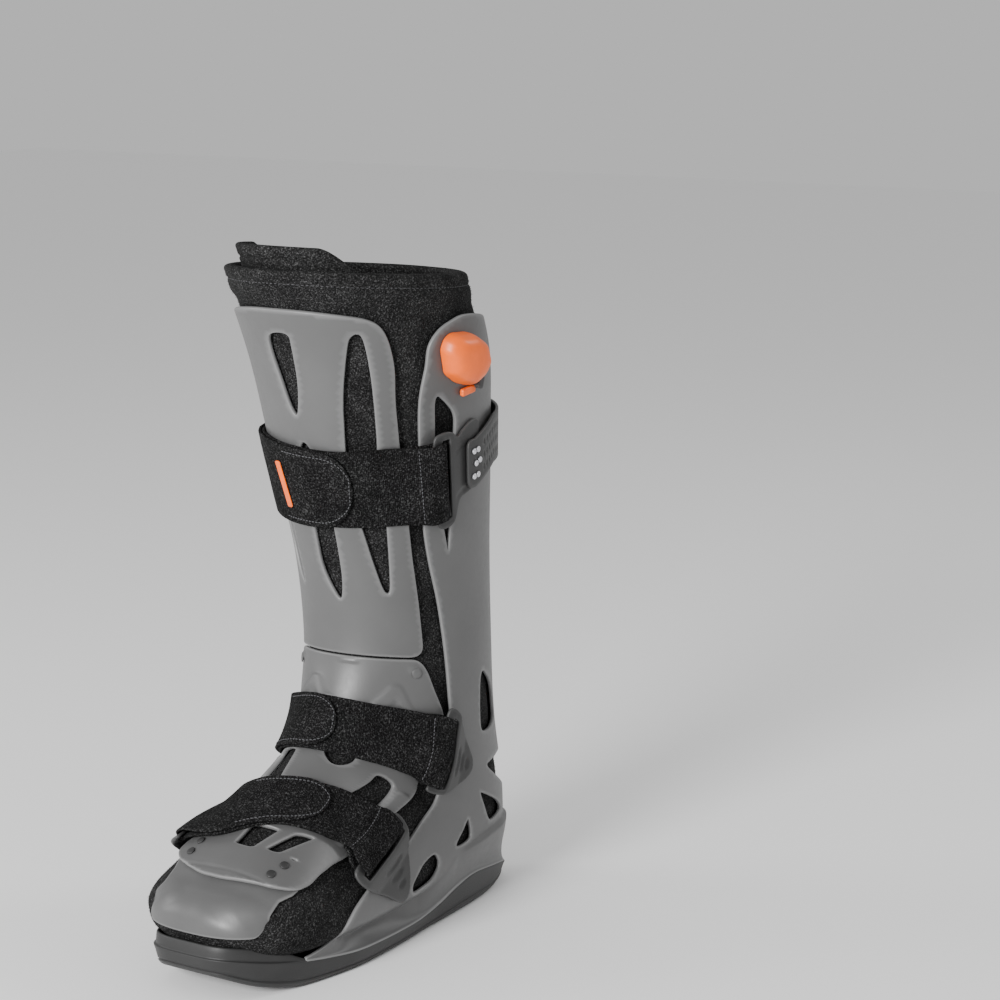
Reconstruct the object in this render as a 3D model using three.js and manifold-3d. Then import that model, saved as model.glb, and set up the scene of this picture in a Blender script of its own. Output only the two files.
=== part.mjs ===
// Tall walking boot for a right leg, in millimetres. The toe points along -Y, +X is the inner
// side of the leg, +Z is up and the sole rests on z 0.
import * as THREE from "three";
import { mergeVertices } from "three/addons/utils/BufferGeometryUtils.js";
import Module from "manifold-3d";

const wasm = await Module();
wasm.setup();

// Sizes of the padded liner, which everything else is built round
const footLength = 300; // heel to toe
const footBedHeight = 24; // underside of the liner above the floor
const ankleRise = 166; // foot bed to the front of the ankle
const shaftLength = 224; // front of the ankle to the rim
const calfWidth = 140;
const ballWidth = 110;
const linerWall = 8;
const rimReach = 0.17; // the rim stands above the first section, in sections
const footSeam = 5.8; // section at which the leg and the foot of the liner meet
const footSeamGap = 0.012; // in sections
const flapWall = 5;
const flapClearance = 1.25; // liner to its inner flap
const flapReach = 0.46; // the inner flap shows above the rim, in sections

// Sizes of the moulded parts
const gap = 0.4; // between neighbouring pieces
const shellGap = 1.1; // liner to shell
const shellWall = 3;
const toeCapWall = 2.4;
const cupStep = 2.5; // the heel cup stands proud of the rear shell
const toeMargin = 6; // sole beyond the liner's toe
const heelMargin = 19; // sole beyond the liner's heel
const soleWidth = 116;
const rimHeight = 25; // top edge of the outsole at the toe
const toeSpring = 18; // the toe's underside above the floor
const heelSpring = 5;
const skirtInset = 0.8; // shell's lower edge inside the outsole's edge

// Sizes of the straps and their fittings
const strapWall = 1.8;
const strapGap = 0.6; // shell to strap
const footStrapRise = 0.75;
const flapGap = 0.8; // strap to its own flap
const barGap = 1.1; // strap to the bar it goes round
const plateWall = 2;
const barWidth = 5;
const slotWidth = 6.5;
const returnLength = 16; // strap sewn back on itself behind the inner bar
const labelSize = { width: 4.5, height: 30, wall: 0.8 };
const bandWall = 2;
const studRadius = 2.1;
const studWall = 1.2;
const toeStudRadius = 2.8;
const rivetRadius = 3.4;

// Sizes of the hand pump
const bulbRise = 13;
const bulbFoot = 0.6;
const valveRadius = 2.6;
const valveLength = 5.5;
const hookBar = 1.6;

const shellOuter = shellGap + shellWall;
const strapInner = shellOuter + strapGap;
const mainLevel = strapInner + strapWall / 2;
const flapLevel = mainLevel + strapWall + flapGap;
const barInner = strapInner + strapWall + barGap;
const outerLevel = barInner + plateWall + barGap + strapWall / 2;
const foldRadius = (outerLevel - mainLevel) / 2;
const foldPlace = barWidth / 2 + barGap - Math.sqrt((foldRadius - strapWall / 2) ** 2 - (plateWall / 2) ** 2);
const bandInner = shellOuter + gap + plateWall + gap;

const { lerp, clamp, degToRad, smoothstep } = THREE.MathUtils;

// Cross-sections of the liner from the rim down to the ankle and out to the toe. Columns: front
// y, front z, back y, back z, half width, where it is widest, and how square its front and back
// are. Each y is a share of footLength. Leg heights are shares of shaftLength above the ankle,
// and widths of calfWidth. Foot heights are shares of ankleRise above the bed, widths of ballWidth.
const legSections = [
  [-0.22, 1.0, 0.287, 0.955, 0.5, 0.5, 2, 2],
  [-0.157, 0.777, 0.357, 0.759, 0.471, 0.5, 2, 2],
  [-0.107, 0.509, 0.383, 0.491, 0.421, 0.5, 2, 2],
  [-0.05, 0.232, 0.397, 0.205, 0.371, 0.5, 2, 2],
  [-0.027, 0, 0.407, -0.062, 0.357, 0.5, 2, 2],
];
const footSections = [
  [-0.047, 0.807, 0.42, 0.566, 0.436, 0.5, 2, 2.2],
  [-0.087, 0.699, 0.447, 0.229, 0.409, 0.55, 2, 2.6],
  [-0.14, 0.602, 0.413, 0.05, 0.391, 0.6, 2, 3.2],
  [-0.193, 0.524, 0.227, 0.018, 0.427, 0.64, 2, 4],
  [-0.253, 0.452, 0.04, 0.004, 0.464, 0.66, 2, 4.6],
  [-0.327, 0.373, -0.16, 0, 0.5, 0.64, 2.1, 5],
  [-0.4, 0.295, -0.327, 0.006, 0.491, 0.6, 2.2, 4.6],
  [-0.467, 0.205, -0.433, 0.03, 0.4, 0.55, 2.3, 3.4],
  [-0.503, 0.133, -0.493, 0.072, 0.2, 0.5, 2.2, 2.2],
];
const ankleHeight = footBedHeight + ankleRise;
const sections = [
  ...legSections.map(([fy, fz, by, bz, half, ...form]) => [
    fy * footLength,
    ankleHeight + fz * shaftLength,
    by * footLength,
    ankleHeight + bz * shaftLength,
    half * calfWidth,
    ...form,
  ]),
  ...footSections.map(([fy, fz, by, bz, half, ...form]) => [
    fy * footLength,
    footBedHeight + fz * ankleRise,
    by * footLength,
    footBedHeight + bz * ankleRise,
    half * ballWidth,
    ...form,
  ]),
];
const toeStation = sections.length - 1;

// Row of a smooth curve through a list of rows at a fractional place, straight above the first.
function through(list, at) {
  const last = list.length - 1;
  if (at < 0) return list[0].map((q, k) => q + at * (list[1][k] - q));
  const i = clamp(Math.floor(at), 0, last - 1);
  const t = at - i;
  const [a, b, c, d] = [i - 1, i, i + 1, i + 2].map((k) => list[clamp(k, 0, last)]);
  const bend = (p, q, r, u) =>
    0.5 * (2 * q + (r - p) * t + (2 * p - 5 * q + 4 * r - u) * t * t + (3 * q - p - 3 * r + u) * t ** 3);
  return b.map((q, k) => bend(a[k], q, c[k], d[k]));
}

// Value of a table of [place, value] rows, with straight lines between them.
function along(table, at) {
  const i = table.findIndex(([place]) => place >= at);
  if (i < 0) return table[table.length - 1][1];
  if (i === 0) return table[0][1];
  const [[p, u], [q, w]] = [table[i - 1], table[i]];
  return lerp(u, w, (at - p) / (q - p));
}

// Point on the liner's outside at a station and at an angle round it from the front, in degrees,
// positive towards the inner side of the leg. Inset moves it inwards within its section.
function bodyPoint(station, angle, inset = 0) {
  const [fy, fz, by, bz, half, widest, squareFront, squareBack] = through(sections, station);
  const across = Math.sin(degToRad(angle));
  const forward = Math.cos(degToRad(angle));
  const depth = Math.hypot(by - fy, bz - fz);
  const reach = depth * (forward >= 0 ? widest : 1 - widest);
  const power = forward >= 0 ? squareFront : squareBack;
  const full = (Math.abs(across / half) ** power + Math.abs(forward / reach) ** power) ** (-1 / power);
  const radius = full - inset;
  const share = widest - (radius * forward) / depth;
  return new THREE.Vector3(radius * across, lerp(fy, by, share), lerp(fz, bz, share));
}

function outward(station, angle) {
  const down = bodyPoint(station + 0.01, angle).sub(bodyPoint(station - 0.01, angle));
  const round = bodyPoint(station, angle + 0.5).sub(bodyPoint(station, angle - 0.5));
  return down.cross(round).normalize();
}

function onBody(station, angle, out) {
  return bodyPoint(station, angle).addScaledVector(outward(station, angle), out);
}

// Axes of a fitting that sits on the body: x towards the back, y up and z outwards.
function seatAt(station, angle, out, turn = 0) {
  const z = outward(station, angle);
  const up = bodyPoint(station - 0.02, angle).sub(bodyPoint(station + 0.02, angle));
  const x = up.clone().cross(z).normalize();
  const y = z.clone().cross(x);
  const seat = new THREE.Matrix4().makeBasis(x, y, z).setPosition(onBody(station, angle, out));
  return seat.multiply(new THREE.Matrix4().makeRotationZ(degToRad(turn)));
}

function solidOf(points, faces) {
  const vertProperties = new Float32Array(points.flatMap((p) => [p.x, p.y, p.z]));
  return new wasm.Manifold(new wasm.Mesh({ numProp: 3, vertProperties, triVerts: new Uint32Array(faces.flat()) }));
}

// The same, turned to face outwards if its faces run the other way.
function closed(points, faces) {
  const solid = solidOf(points, faces);
  return solid.volume() < 0 ? solidOf(points, faces.map(([a, b, c]) => [a, c, b])) : solid;
}

function solidOfGeometry(geometry) {
  geometry.deleteAttribute("normal");
  geometry.deleteAttribute("uv");
  const merged = mergeVertices(geometry, 1e-4);
  return new wasm.Manifold(
    new wasm.Mesh({
      numProp: 3,
      vertProperties: new Float32Array(merged.attributes.position.array),
      triVerts: new Uint32Array(merged.index.array),
    }),
  );
}

const largest = (solid) => solid.decompose().sort((a, b) => b.volume() - a.volume())[0];
const quad = (a, b, c, d) => [[a, b, c], [a, c, d]];

// Closed loft through rings of points, with a fan over each end.
function ringLoft(rings) {
  const count = rings[0].length;
  const points = rings.flat();
  const faces = [];
  for (let i = 0; i + 1 < rings.length; i += 1) {
    for (let j = 0; j < count; j += 1) {
      const k = (j + 1) % count;
      faces.push(...quad(i * count + j, (i + 1) * count + j, (i + 1) * count + k, i * count + k));
    }
  }
  const middle = (ring) => ring.reduce((sum, p) => sum.add(p), new THREE.Vector3()).divideScalar(count);
  const start = points.push(middle(rings[0])) - 1;
  const end = points.push(middle(rings[rings.length - 1])) - 1;
  const lastRing = (rings.length - 1) * count;
  for (let j = 0; j < count; j += 1) {
    const k = (j + 1) % count;
    faces.push([start, j, k], [end, lastRing + k, lastRing + j]);
  }
  return closed(points, faces);
}

// Angles round the body that the liner and the rear shell share, closer at the sole's corners.
const halfAngles = [0, 14, 28, 42, 56, 70, 84, 96, 107, 116, 125, 137, 151, 166];
const roundAngles = [...halfAngles, 180, ...halfAngles.slice(1).reverse().map((a) => -a)];

const stations = (from, to, count) => Array.from({ length: count + 1 }, (_, i) => lerp(from, to, i / count));

// Stations of the body's rings, closer where it bends at the ankle and the heel.
const bodyStations = [
  0.3, 0.9, 1.5, 2.1, 2.7, 3.2, 3.6, 4, 4.4, 4.8, 5.3, 5.8, 6.3, 6.8, 7.3, 7.9, 8.5, 9.2, 10, 10.8, 11.5, 12.1, 12.6,
];

const bodyCuts = (from, to) => [from, ...bodyStations.filter((s) => s > from + 0.1 && s < to - 0.1), to];

// Solid whose skin is the body moved outwards by out, a size or a function of the place.
function bodySolid(from, to, out) {
  const outAt = typeof out === "function" ? out : () => out;
  return ringLoft(bodyCuts(from, to).map((s) => roundAngles.map((a) => onBody(s, a, outAt(s, a)))));
}

// Closed sheet between two grids of points of the same size.
function sheetBetween(over, under) {
  const [rows, columns] = [over.length - 1, over[0].length - 1];
  const points = [...over.flat(), ...under.flat()];
  const side = points.length / 2;
  const id = (i, j) => i * (columns + 1) + j;
  const faces = [];
  for (let i = 0; i < rows; i += 1) {
    for (let j = 0; j < columns; j += 1) {
      const corners = [id(i, j), id(i + 1, j), id(i + 1, j + 1), id(i, j + 1)];
      faces.push(...quad(...corners), ...quad(...corners.map((k) => k + side).reverse()));
    }
  }
  const rim = [];
  for (let i = 0; i < rows; i += 1) rim.push(id(i, 0));
  for (let j = 0; j < columns; j += 1) rim.push(id(rows, j));
  for (let i = rows; i > 0; i -= 1) rim.push(id(i, columns));
  for (let j = columns; j > 0; j -= 1) rim.push(id(0, j));
  rim.forEach((a, k) => {
    const b = rim[(k + 1) % rim.length];
    faces.push(...quad(b, a, a + side, b + side));
  });
  return closed(points, faces);
}

// Wall between two offsets of the body. Each of its rows starts from one of the listed stations,
// and place gives the station and angle a share of the way along a row.
function wall({ cuts, columns, place, inner, outer }) {
  const at = (size, s, a) => (typeof size === "function" ? size(s, a) : size);
  const skin = (size) =>
    cuts.map((cut) =>
      stations(0, 1, columns).map((share) => {
        const [s, a] = place(cut, share);
        return onBody(s, a, at(size, s, a));
      }),
    );
  return sheetBetween(skin(outer), skin(inner));
}

// Corners of an outline cut off once, so that a moulded window has eased corners.
function eased(outline, share = 0.22) {
  return outline.flatMap((p, i) => {
    const before = outline.at(i - 1);
    const after = outline[(i + 1) % outline.length];
    return [before, after].map((q) => p.map((value, k) => lerp(value, q[k], share)));
  });
}

// Prism through the wall over an outline of [station, angle] points.
function prism(outline, inner = -9, outer = 22) {
  const scale = 0.02; // stations to a degree, so that the caps are cut into even triangles
  const flatOf = (list) => list.map(([s, a]) => new THREE.Vector2(a * scale, -s));
  const ordered = THREE.ShapeUtils.isClockWise(flatOf(outline)) ? [...outline].reverse() : outline;
  const count = ordered.length;
  const caps = THREE.ShapeUtils.triangulateShape(flatOf(ordered), []);
  const points = [outer, inner].flatMap((out) => ordered.map(([s, a]) => onBody(s, a, out)));
  const faces = caps.flatMap(([a, b, c]) => [[a, b, c], [a + count, c + count, b + count]]);
  for (let a = 0; a < count; a += 1) {
    const b = (a + 1) % count;
    faces.push(...quad(b, a, a + count, b + count));
  }
  return closed(points, faces);
}

const cut = (solid, outlines) => outlines.reduce((rest, outline) => rest.subtract(prism(outline)), solid);
const mirrored = (outline, axis = 0) => outline.map(([s, a]) => [s, 2 * axis - a]).reverse();

// Panel of a wall over an outline.
function panel(outline, inner, outer, rows, columns) {
  const [s, a] = [0, 1].map((k) => outline.map((p) => p[k]));
  const [top, bottom] = [Math.min(...s) - 0.03, Math.max(...s) + 0.03];
  const [left, right] = [Math.min(...a) - 1.5, Math.max(...a) + 1.5];
  const place = (station, j) => [station, lerp(left, right, j)];
  return wall({ cuts: stations(top, bottom, rows), columns, place, inner, outer }).intersect(prism(outline));
}

// The sole's outline, round from the toe, t in degrees from the toe's tip. Half widths are shares
// of soleWidth, and rim heights of rimHeight, each by its share of the sole's length from the toe.
const soleHalves = [[0, 0.466], [0.15, 0.5], [0.33, 0.5], [0.6, 0.414], [0.8, 0.4], [1, 0.38]];
const rimHeights = [
  [0, 1.12], [0.05, 1], [0.1, 0.86], [0.2, 0.66], [0.3, 0.52], [0.45, 0.47], [0.55, 0.46], [0.62, 0.56],
  [0.7, 0.82], [0.77, 0.93], [0.84, 0.82], [0.92, 0.66], [0.97, 0.5], [1, 0.32],
];
const soleFront = -0.503 * footLength - toeMargin;
const soleBack = 0.447 * footLength + heelMargin;
const soleShare = (y) => clamp((y - soleFront) / (soleBack - soleFront), 0, 1);
const rimAt = (y) => along(rimHeights, soleShare(y)) * rimHeight;

function soleRing(count, { inset, front, back, height, halfAt }) {
  return Array.from({ length: count }, (_, k) => {
    const t = (2 * Math.PI * (k + 0.5)) / count;
    const y = lerp(front, back, (1 - Math.cos(t)) / 2);
    const square = Math.cos(t) > 0 ? 0.5 : 0.6;
    const x = Math.sign(Math.sin(t)) * Math.abs(Math.sin(t)) ** square * (halfAt(y) - inset);
    return new THREE.Vector3(x, y, height(y));
  });
}

// Loft through sole rings, whose ends are closed by strips straight across.
function soleLoft(rings) {
  const count = rings[0].length;
  const points = rings.flat();
  const faces = [];
  for (let i = 0; i + 1 < rings.length; i += 1) {
    for (let j = 0; j < count; j += 1) {
      const k = (j + 1) % count;
      faces.push(...quad(i * count + j, i * count + k, (i + 1) * count + k, (i + 1) * count + j));
    }
  }
  const top = (rings.length - 1) * count;
  for (let j = 0; j + 1 < count / 2; j += 1) {
    const [a, b, c, d] = [j, j + 1, count - 2 - j, count - 1 - j];
    faces.push(...quad(a, d, c, b), ...quad(top + a, top + b, top + c, top + d));
  }
  return closed(points, faces);
}

const soleHalf = (y) => along(soleHalves, soleShare(y)) * soleWidth;

function outsole() {
  const springs = [
    [0, toeSpring], [0.04, toeSpring * 0.62], [0.09, toeSpring * 0.27], [0.17, 0], [0.86, 0], [1, heelSpring],
  ];
  const under = (y) => along(springs, soleShare(y));
  const ends = { front: soleFront, back: soleBack, halfAt: soleHalf };
  const foot = { ...ends, inset: 5, front: soleFront + 3, back: soleBack - 5, height: under };
  const side = { ...ends, inset: 1.2, height: (y) => lerp(under(y), rimAt(y), 0.45) };
  const rim = { ...ends, inset: 0, height: (y) => rimAt(y) - gap };
  const seat = bodySolid(6, 10, shellOuter + cupStep + gap); // the shell's underside sinks in at the heel
  return soleLoft([foot, side, rim].map((ring) => soleRing(40, ring))).subtract(seat);
}

// Station whose underside lies at a given y.
function stationUnder(y) {
  let [low, high] = [7, toeStation];
  for (let i = 0; i < 24; i += 1) {
    const middle = (low + high) / 2;
    if (through(sections, middle)[2] > y) low = middle;
    else high = middle;
  }
  return low;
}

// Block of the shell under and round the foot: its lower edge follows the outsole's rim, and it
// draws in to the rear shell's wall above. The hollow for the liner is cut from it later.
function soleTray() {
  const hidden = (y) => smoothstep(-y, 0.22 * footLength, 0.29 * footLength); // no skirt at the toe
  const bodyHalf = (y) => through(sections, stationUnder(y))[4];
  const bedAt = (y) => through(sections, stationUnder(y))[3];
  const rise = [[0, 3], [0.3, 4], [0.45, 12], [0.8, 16], [1, 24]];
  const lower = {
    inset: 0,
    front: soleFront + 12,
    back: soleBack - skirtInset,
    halfAt: (y) => soleHalf(y) - skirtInset - 9 * hidden(y),
    height: rimAt,
  };
  const lip = { ...lower, height: (y) => Math.min(rimAt(y) + 2.5, bedAt(y) + 1) };
  const upper = {
    inset: 0,
    front: soleFront + 14,
    back: 0.447 * footLength + 1,
    halfAt: (y) => bodyHalf(y) + 2 - 6 * hidden(y),
    height: (y) => Math.max(bedAt(y), rimAt(y)) + along(rise, soleShare(y)),
  };
  return soleLoft([lower, lip, upper].map((ring) => soleRing(40, ring)));
}

// Front edge of the rear shell, and upper edge of the heel cup round its back.
const rearEdge = [
  [0.42, 100], [0.48, 88], [0.58, 78], [0.74, 70], [0.96, 66], [1.34, 60], [1.8, 58], [2.57, 57], [3, 59],
  [3.47, 64], [4.11, 69], [4.71, 74], [5.12, 77], [5.28, 79], [5.8, 75], [6.38, 66], [6.66, 60], [7.1, 59],
  [7.57, 62], [8.57, 78], [9.33, 98], [9.69, 108], [10, 116], [10.4, 122],
  [11, 124], [11.6, 126], [12.1, 127], [12.6, 128], [toeStation, 128],
];
const cupEdge = [[118, 7.81], [126, 7.41], [135, 6.98], [146, 6.64], [158, 6.35], [180, 6.2]];
const backDip = 0.28; // the rear shell's top edge drops behind the calf, in sections

// Windows on the inner side, which the outer side repeats.
const rearWindows = [
  [[1.28, 71], [1.36, 76], [1.51, 84], [1.79, 83], [2.62, 78], [2.98, 74], [2.62, 70], [1.77, 67], [1.34, 68]],
  [[4.39, 116], [4.49, 111], [5.32, 115], [5.22, 132], [5.01, 147], [4.79, 146], [4.58, 134]],
  [[5.78, 119], [5.48, 144], [5.44, 164], [5.98, 164], [5.91, 141]],
  [[6.27, 112], [6.92, 134], [6.75, 140], [6.33, 154], [6.2, 140]],
  [[6.95, 104], [7.7, 112], [7.8, 119], [7.55, 125], [7.33, 123], [7.1, 112]],
  [[8.07, 100], [8.44, 99], [9.0, 110], [9.06, 117], [8.98, 121], [8.6, 123], [8.23, 115]],
];

function frontOpening() {
  const cuts = rearEdge.map(([s]) => s);
  const place = (s, j) => [s, lerp(-1, 1, j) * along(rearEdge, s)];
  return wall({ cuts, columns: 14, place, inner: -6, outer: 20 });
}

// Everything above the rear shell's top edge, which is lowest behind the calf.
function aboveRearShell() {
  const topAt = (angle) => rearEdge[0][0] + backDip * smoothstep(Math.abs(angle), 120, 180);
  const ring = (stationAt) => roundAngles.map((a) => bodyPoint(stationAt(a), a, -25));
  return ringLoft([ring(() => -0.5), ring(topAt)]);
}

function baseShell() {
  const cup = (s, a) => {
    const edge = along(cupEdge, Math.abs(a));
    const round = smoothstep(Math.abs(a), 112, 122);
    return cupStep * smoothstep(s, edge - 0.08, edge + 0.08) * round;
  };
  const skin = bodySolid(0.3, toeStation - 1.3, (s, a) => shellOuter + cup(s, a));
  const hollow = bodySolid(0, toeStation + 0.3, shellGap);
  const side = skin.subtract(frontOpening()).subtract(aboveRearShell());
  const whole = side.add(soleTray()).subtract(hollow);
  const windows = [eased(rearWindows[0]), ...rearWindows.slice(1)];
  return largest(cut(whole, [...windows, ...windows.map((outline) => mirrored(outline))]));
}

// Edge of the shin shell on the inner side. Its middle line swings inwards down the leg.
const shinEdge = [
  [0.34, 30], [0.4, 39], [0.46, 44], [0.56, 48], [0.72, 49], [1.33, 46], [1.84, 46], [2.99, 47], [3.45, 49], [4.2, 50],
];
const shinAxis = [[0, -1], [1.5, 0], [3, 4], [4.2, 8], [6, 10], [9, 12], [10.4, 10.5], [11.5, 9], [13, 8.5]];
const shinWindows = [
  [[0.6, -8], [0.58, 5], [1.19, 3.5], [1.52, -1], [1.4, -4], [0.83, -9]],
  [[0.62, 31], [0.56, 35], [0.6, 38], [1.79, 36], [2.1, 34], [2.06, 20], [1.84, 20], [1.33, 22], [1.0, 25], [0.72, 29]],
  [[1.72, 1], [1.88, 6], [2.3, 8], [2.3, -5], [1.88, -3]],
  [[2.4, -3], [2.4, 9], [3.24, 9.5], [3.5, 7.5], [3.31, 2], [3.04, -3]],
  [[2.4, 20], [2.4, 36], [3.33, 34], [3.38, 32], [3.33, 29], [2.99, 25]],
  [[2.4, -36], [2.4, -22], [2.88, -22], [3.16, -19], [3.36, -18], [3.2, -26], [2.88, -33]],
];

function shinShell() {
  const place = (s, j) => [s, along(shinAxis, s) * (1 - j) + lerp(-1, 1, j) * along(shinEdge, s)];
  const cuts = [0.34, 0.4, 0.46, 0.56, 0.72, ...bodyCuts(0.8, 4.2).slice(1)];
  const shell = wall({ cuts, columns: 8, place, inner: shellGap, outer: shellOuter });
  return cut(shell, shinWindows.map((outline) => eased(outline)));
}

// The plate over the toes rides over the toe cap, and the strap with it.
const raised = (s) => along([[9.2, 0], [10.4, 1.2], [11.1, 3.2], [11.6, 3.6]], s);
// The straps over the foot bridge its hollows.
const strapRise = (s) => footStrapRise * smoothstep(s, 4, 5) + raised(s);

// Edge of the instep shell from its middle line, down to the plate over the toes.
const instepEdge = [
  [4.24, 41], [4.41, 46], [4.73, 51], [5.06, 58], [5.6, 58], [6.1, 44], [6.58, 29], [7.5, 30], [8.2, 33],
  [9, 40], [9.5, 47], [9.74, 57], [10.41, 63], [10.75, 64], [11, 58], [11.15, 49], [11.4, 36], [11.55, 22],
];
const instepWindows = [
  [[7.0, -9], [6.9, -1], [7.85, -1], [9.2, 0], [9.2, -26], [7.9, -14]],
  [[6.9, 21], [7.0, 29], [7.9, 34], [9.2, 42], [9.2, 24], [7.85, 21]],
  [[5.6, 2], [5.6, 18], [6.95, 14], [7.25, 10], [6.95, 6]],
  [[9.75, 3], [9.7, 21], [10.5, 21], [10.5, 3]],
  [[9.6, 28], [9.5, 37], [10.38, 38], [10.4, 28]],
];
const toeHoles = [[10.99, 44], [10.61, 40]]; // station, and angle from the middle line

function instepShell() {
  const place = (s, j) => [s, along(shinAxis, s) + lerp(-1, 1, j) * along(instepEdge, s)];
  const edgeCuts = instepEdge.map(([s]) => s);
  const apart = (s) => edgeCuts.every((t) => Math.abs(s - t) > 0.15);
  const between = bodyStations.filter((s) => s > 4.3 && s < 11.4 && apart(s));
  const cuts = [...edgeCuts, ...between].sort((a, b) => a - b);
  const inner = (s) => shellGap + raised(s);
  const outer = (s) => shellOuter + raised(s);
  const shell = wall({ cuts, columns: 12, place, inner, outer });
  return cut(shell, instepWindows.map((outline) => eased(outline)));
}

// Edge of the toe cap from its middle line, in degrees.
const toeCapEdge = [[10.7, 60], [11.1, 64], [11.61, 69], [12.01, 76], [12.3, 80], [12.75, 79], [12.95, 72]];
const toeCapInner = 0.8;

function toeCap() {
  const place = (s, j) => [s, along(shinAxis, s) + lerp(-1, 1, j) * along(toeCapEdge, s)];
  const tuck = (s) => 0.9 * smoothstep(s, 11.6, 12.4);
  const inner = (s) => toeCapInner + tuck(s);
  const outer = (s) => toeCapInner + tuck(s) + toeCapWall;
  return wall({ cuts: bodyCuts(10.7, 12.95), columns: 12, place, inner, outer }).subtract(toeCapRelief());
}

// Clears the toe cap's rear edge from the plate that laps it.
function toeCapRelief() {
  const place = (s, j) => [s, along(shinAxis, s) + lerp(-90, 90, j)];
  const inner = (s) => shellGap + raised(s) - 4 * gap;
  return wall({ cuts: stations(10.2, 11.8, 6), columns: 18, place, inner, outer: 14 });
}

// Straps. Columns: station and angle of the upper edge, then of the lower edge. The first and
// last rows are the fittings' far ends, and the second and last but one lie on their bars.
const calfTable = [
  [1.6, 112, 2.28, 112], [1.78, 66, 2.55, 66], [1.8, 52, 2.57, 52], [1.82, 34, 2.59, 32], [1.84, 14, 2.6, 10],
  [1.8, -8, 2.58, -14], [1.76, -26, 2.54, -33], [1.74, -46, 2.5, -50], [1.74, -68, 2.5, -68], [1.6, -114, 2.28, -114],
];
const ankleTable = [
  [5.5, 108, 6.2, 102], [5.15, 68, 6.7, 46], [5.14, 52, 6.64, 36], [5.14, 36, 6.64, 24], [5.17, 18, 6.75, 14],
  [5.2, 0, 6.95, 2], [5.24, -14, 7.05, -9], [5.24, -34, 6.95, -22], [5.24, -56, 6.85, -38], [5.5, -102, 6.2, -98],
];
const forefootTable = [
  [9.1, 120, 9.5, 126], [8.12, 46, 9.66, 70], [8.03, 34, 9.42, 52], [7.93, 20, 9.44, 34], [8.04, 10, 9.62, 18],
  [8.3, 0, 9.95, 6], [8.6, -12, 10.3, -8], [8.75, -26, 10.45, -24], [8.75, -46, 10.4, -54], [9.3, -116, 9.8, -120],
];

// Measures a strap along its middle from the inner bar, which is 0, to the outer bar.
function strapOf(table) {
  const fine = 12;
  const marks = [0];
  const middleAt = (u) => {
    const [s, a, t, b] = through(table, u);
    return onBody((s + t) / 2, (a + b) / 2, mainLevel);
  };
  for (let k = 1; k <= (table.length - 1) * fine; k += 1) {
    marks.push(marks[k - 1] + middleAt(k / fine).distanceTo(middleAt((k - 1) / fine)));
  }
  const length = marks[marks.length - 1 - fine] - marks[fine];
  const place = (millimetres, share) => {
    const want = clamp(millimetres + marks[fine], 0, marks[marks.length - 1]);
    const i = clamp(marks.findIndex((m) => m >= want), 1, marks.length - 1);
    const u = (i - 1 + (want - marks[i - 1]) / (marks[i] - marks[i - 1])) / fine;
    const [s, a, t, b] = through(table, u);
    return [lerp(s, t, share), lerp(a, b, share)];
  };
  return { length, place };
}

// Route of a strap as [place along it, height over the liner]: sewn back behind the inner bar,
// over that bar, round the leg, through the outer fitting and back to the flap's end.
function strapRoute({ length }, flapEnd) {
  const fold = (centre, side, from) =>
    [30, 60, 90, 120, 150].map((turn) => [
      centre + side * foldRadius * Math.sin(degToRad(turn)),
      (outerLevel + mainLevel) / 2 + from * foldRadius * Math.cos(degToRad(turn)),
    ]);
  const steps = (from, to, count, level) => stations(from, to, count).map((place) => [place, level]);
  return [
    [returnLength, mainLevel],
    [returnLength / 2, mainLevel],
    [0, mainLevel],
    ...fold(-foldPlace, -1, -1),
    [0, outerLevel],
    [6, outerLevel],
    [returnLength + 3, flapLevel + 0.5],
    [returnLength + 14, mainLevel],
    ...steps(returnLength + 26, length - 14, 12, mainLevel),
    [length, mainLevel],
    ...fold(length + foldPlace, 1, -1),
    [length, outerLevel],
    [length - 6, outerLevel],
    [length - 16, flapLevel + 0.5],
    ...steps(length - 28, flapEnd + 22, 9, flapLevel),
    ...[15, 9, 4, 1.2, 0.2].map((rest) => [flapEnd + rest, flapLevel]),
  ];
}

function strapSolid(strap, flapEnd, roundEnd) {
  const route = strapRoute(strap, flapEnd);
  const shares = [0, 1 / 3, 2 / 3, 1];
  const grid = route.map(([place, out], i) => {
    const left = i > route.length / 2 ? place - flapEnd : roundEnd;
    const narrow = Math.sqrt(Math.max(0.02, 1 - (1 - Math.min(left / roundEnd, 1)) ** 2));
    return shares.map((share) => {
      const [s, a] = strap.place(place, 0.5 + (share - 0.5) * narrow);
      return onBody(s, a, out + strapRise(s));
    });
  });
  const halfWall = grid.map((row, i) => {
    const next = grid[Math.min(i + 1, grid.length - 1)];
    const last = grid[Math.max(i - 1, 0)];
    return row.map((p, k) => {
      const run = next[k].clone().sub(last[k]);
      const across = row[Math.min(k + 1, row.length - 1)].clone().sub(row[Math.max(k - 1, 0)]);
      return run.cross(across).normalize().multiplyScalar(strapWall / 2);
    });
  });
  const skin = (side) => grid.map((row, i) => row.map((p, k) => p.clone().addScaledVector(halfWall[i][k], side)));
  return sheetBetween(skin(1), skin(-1));
}

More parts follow.
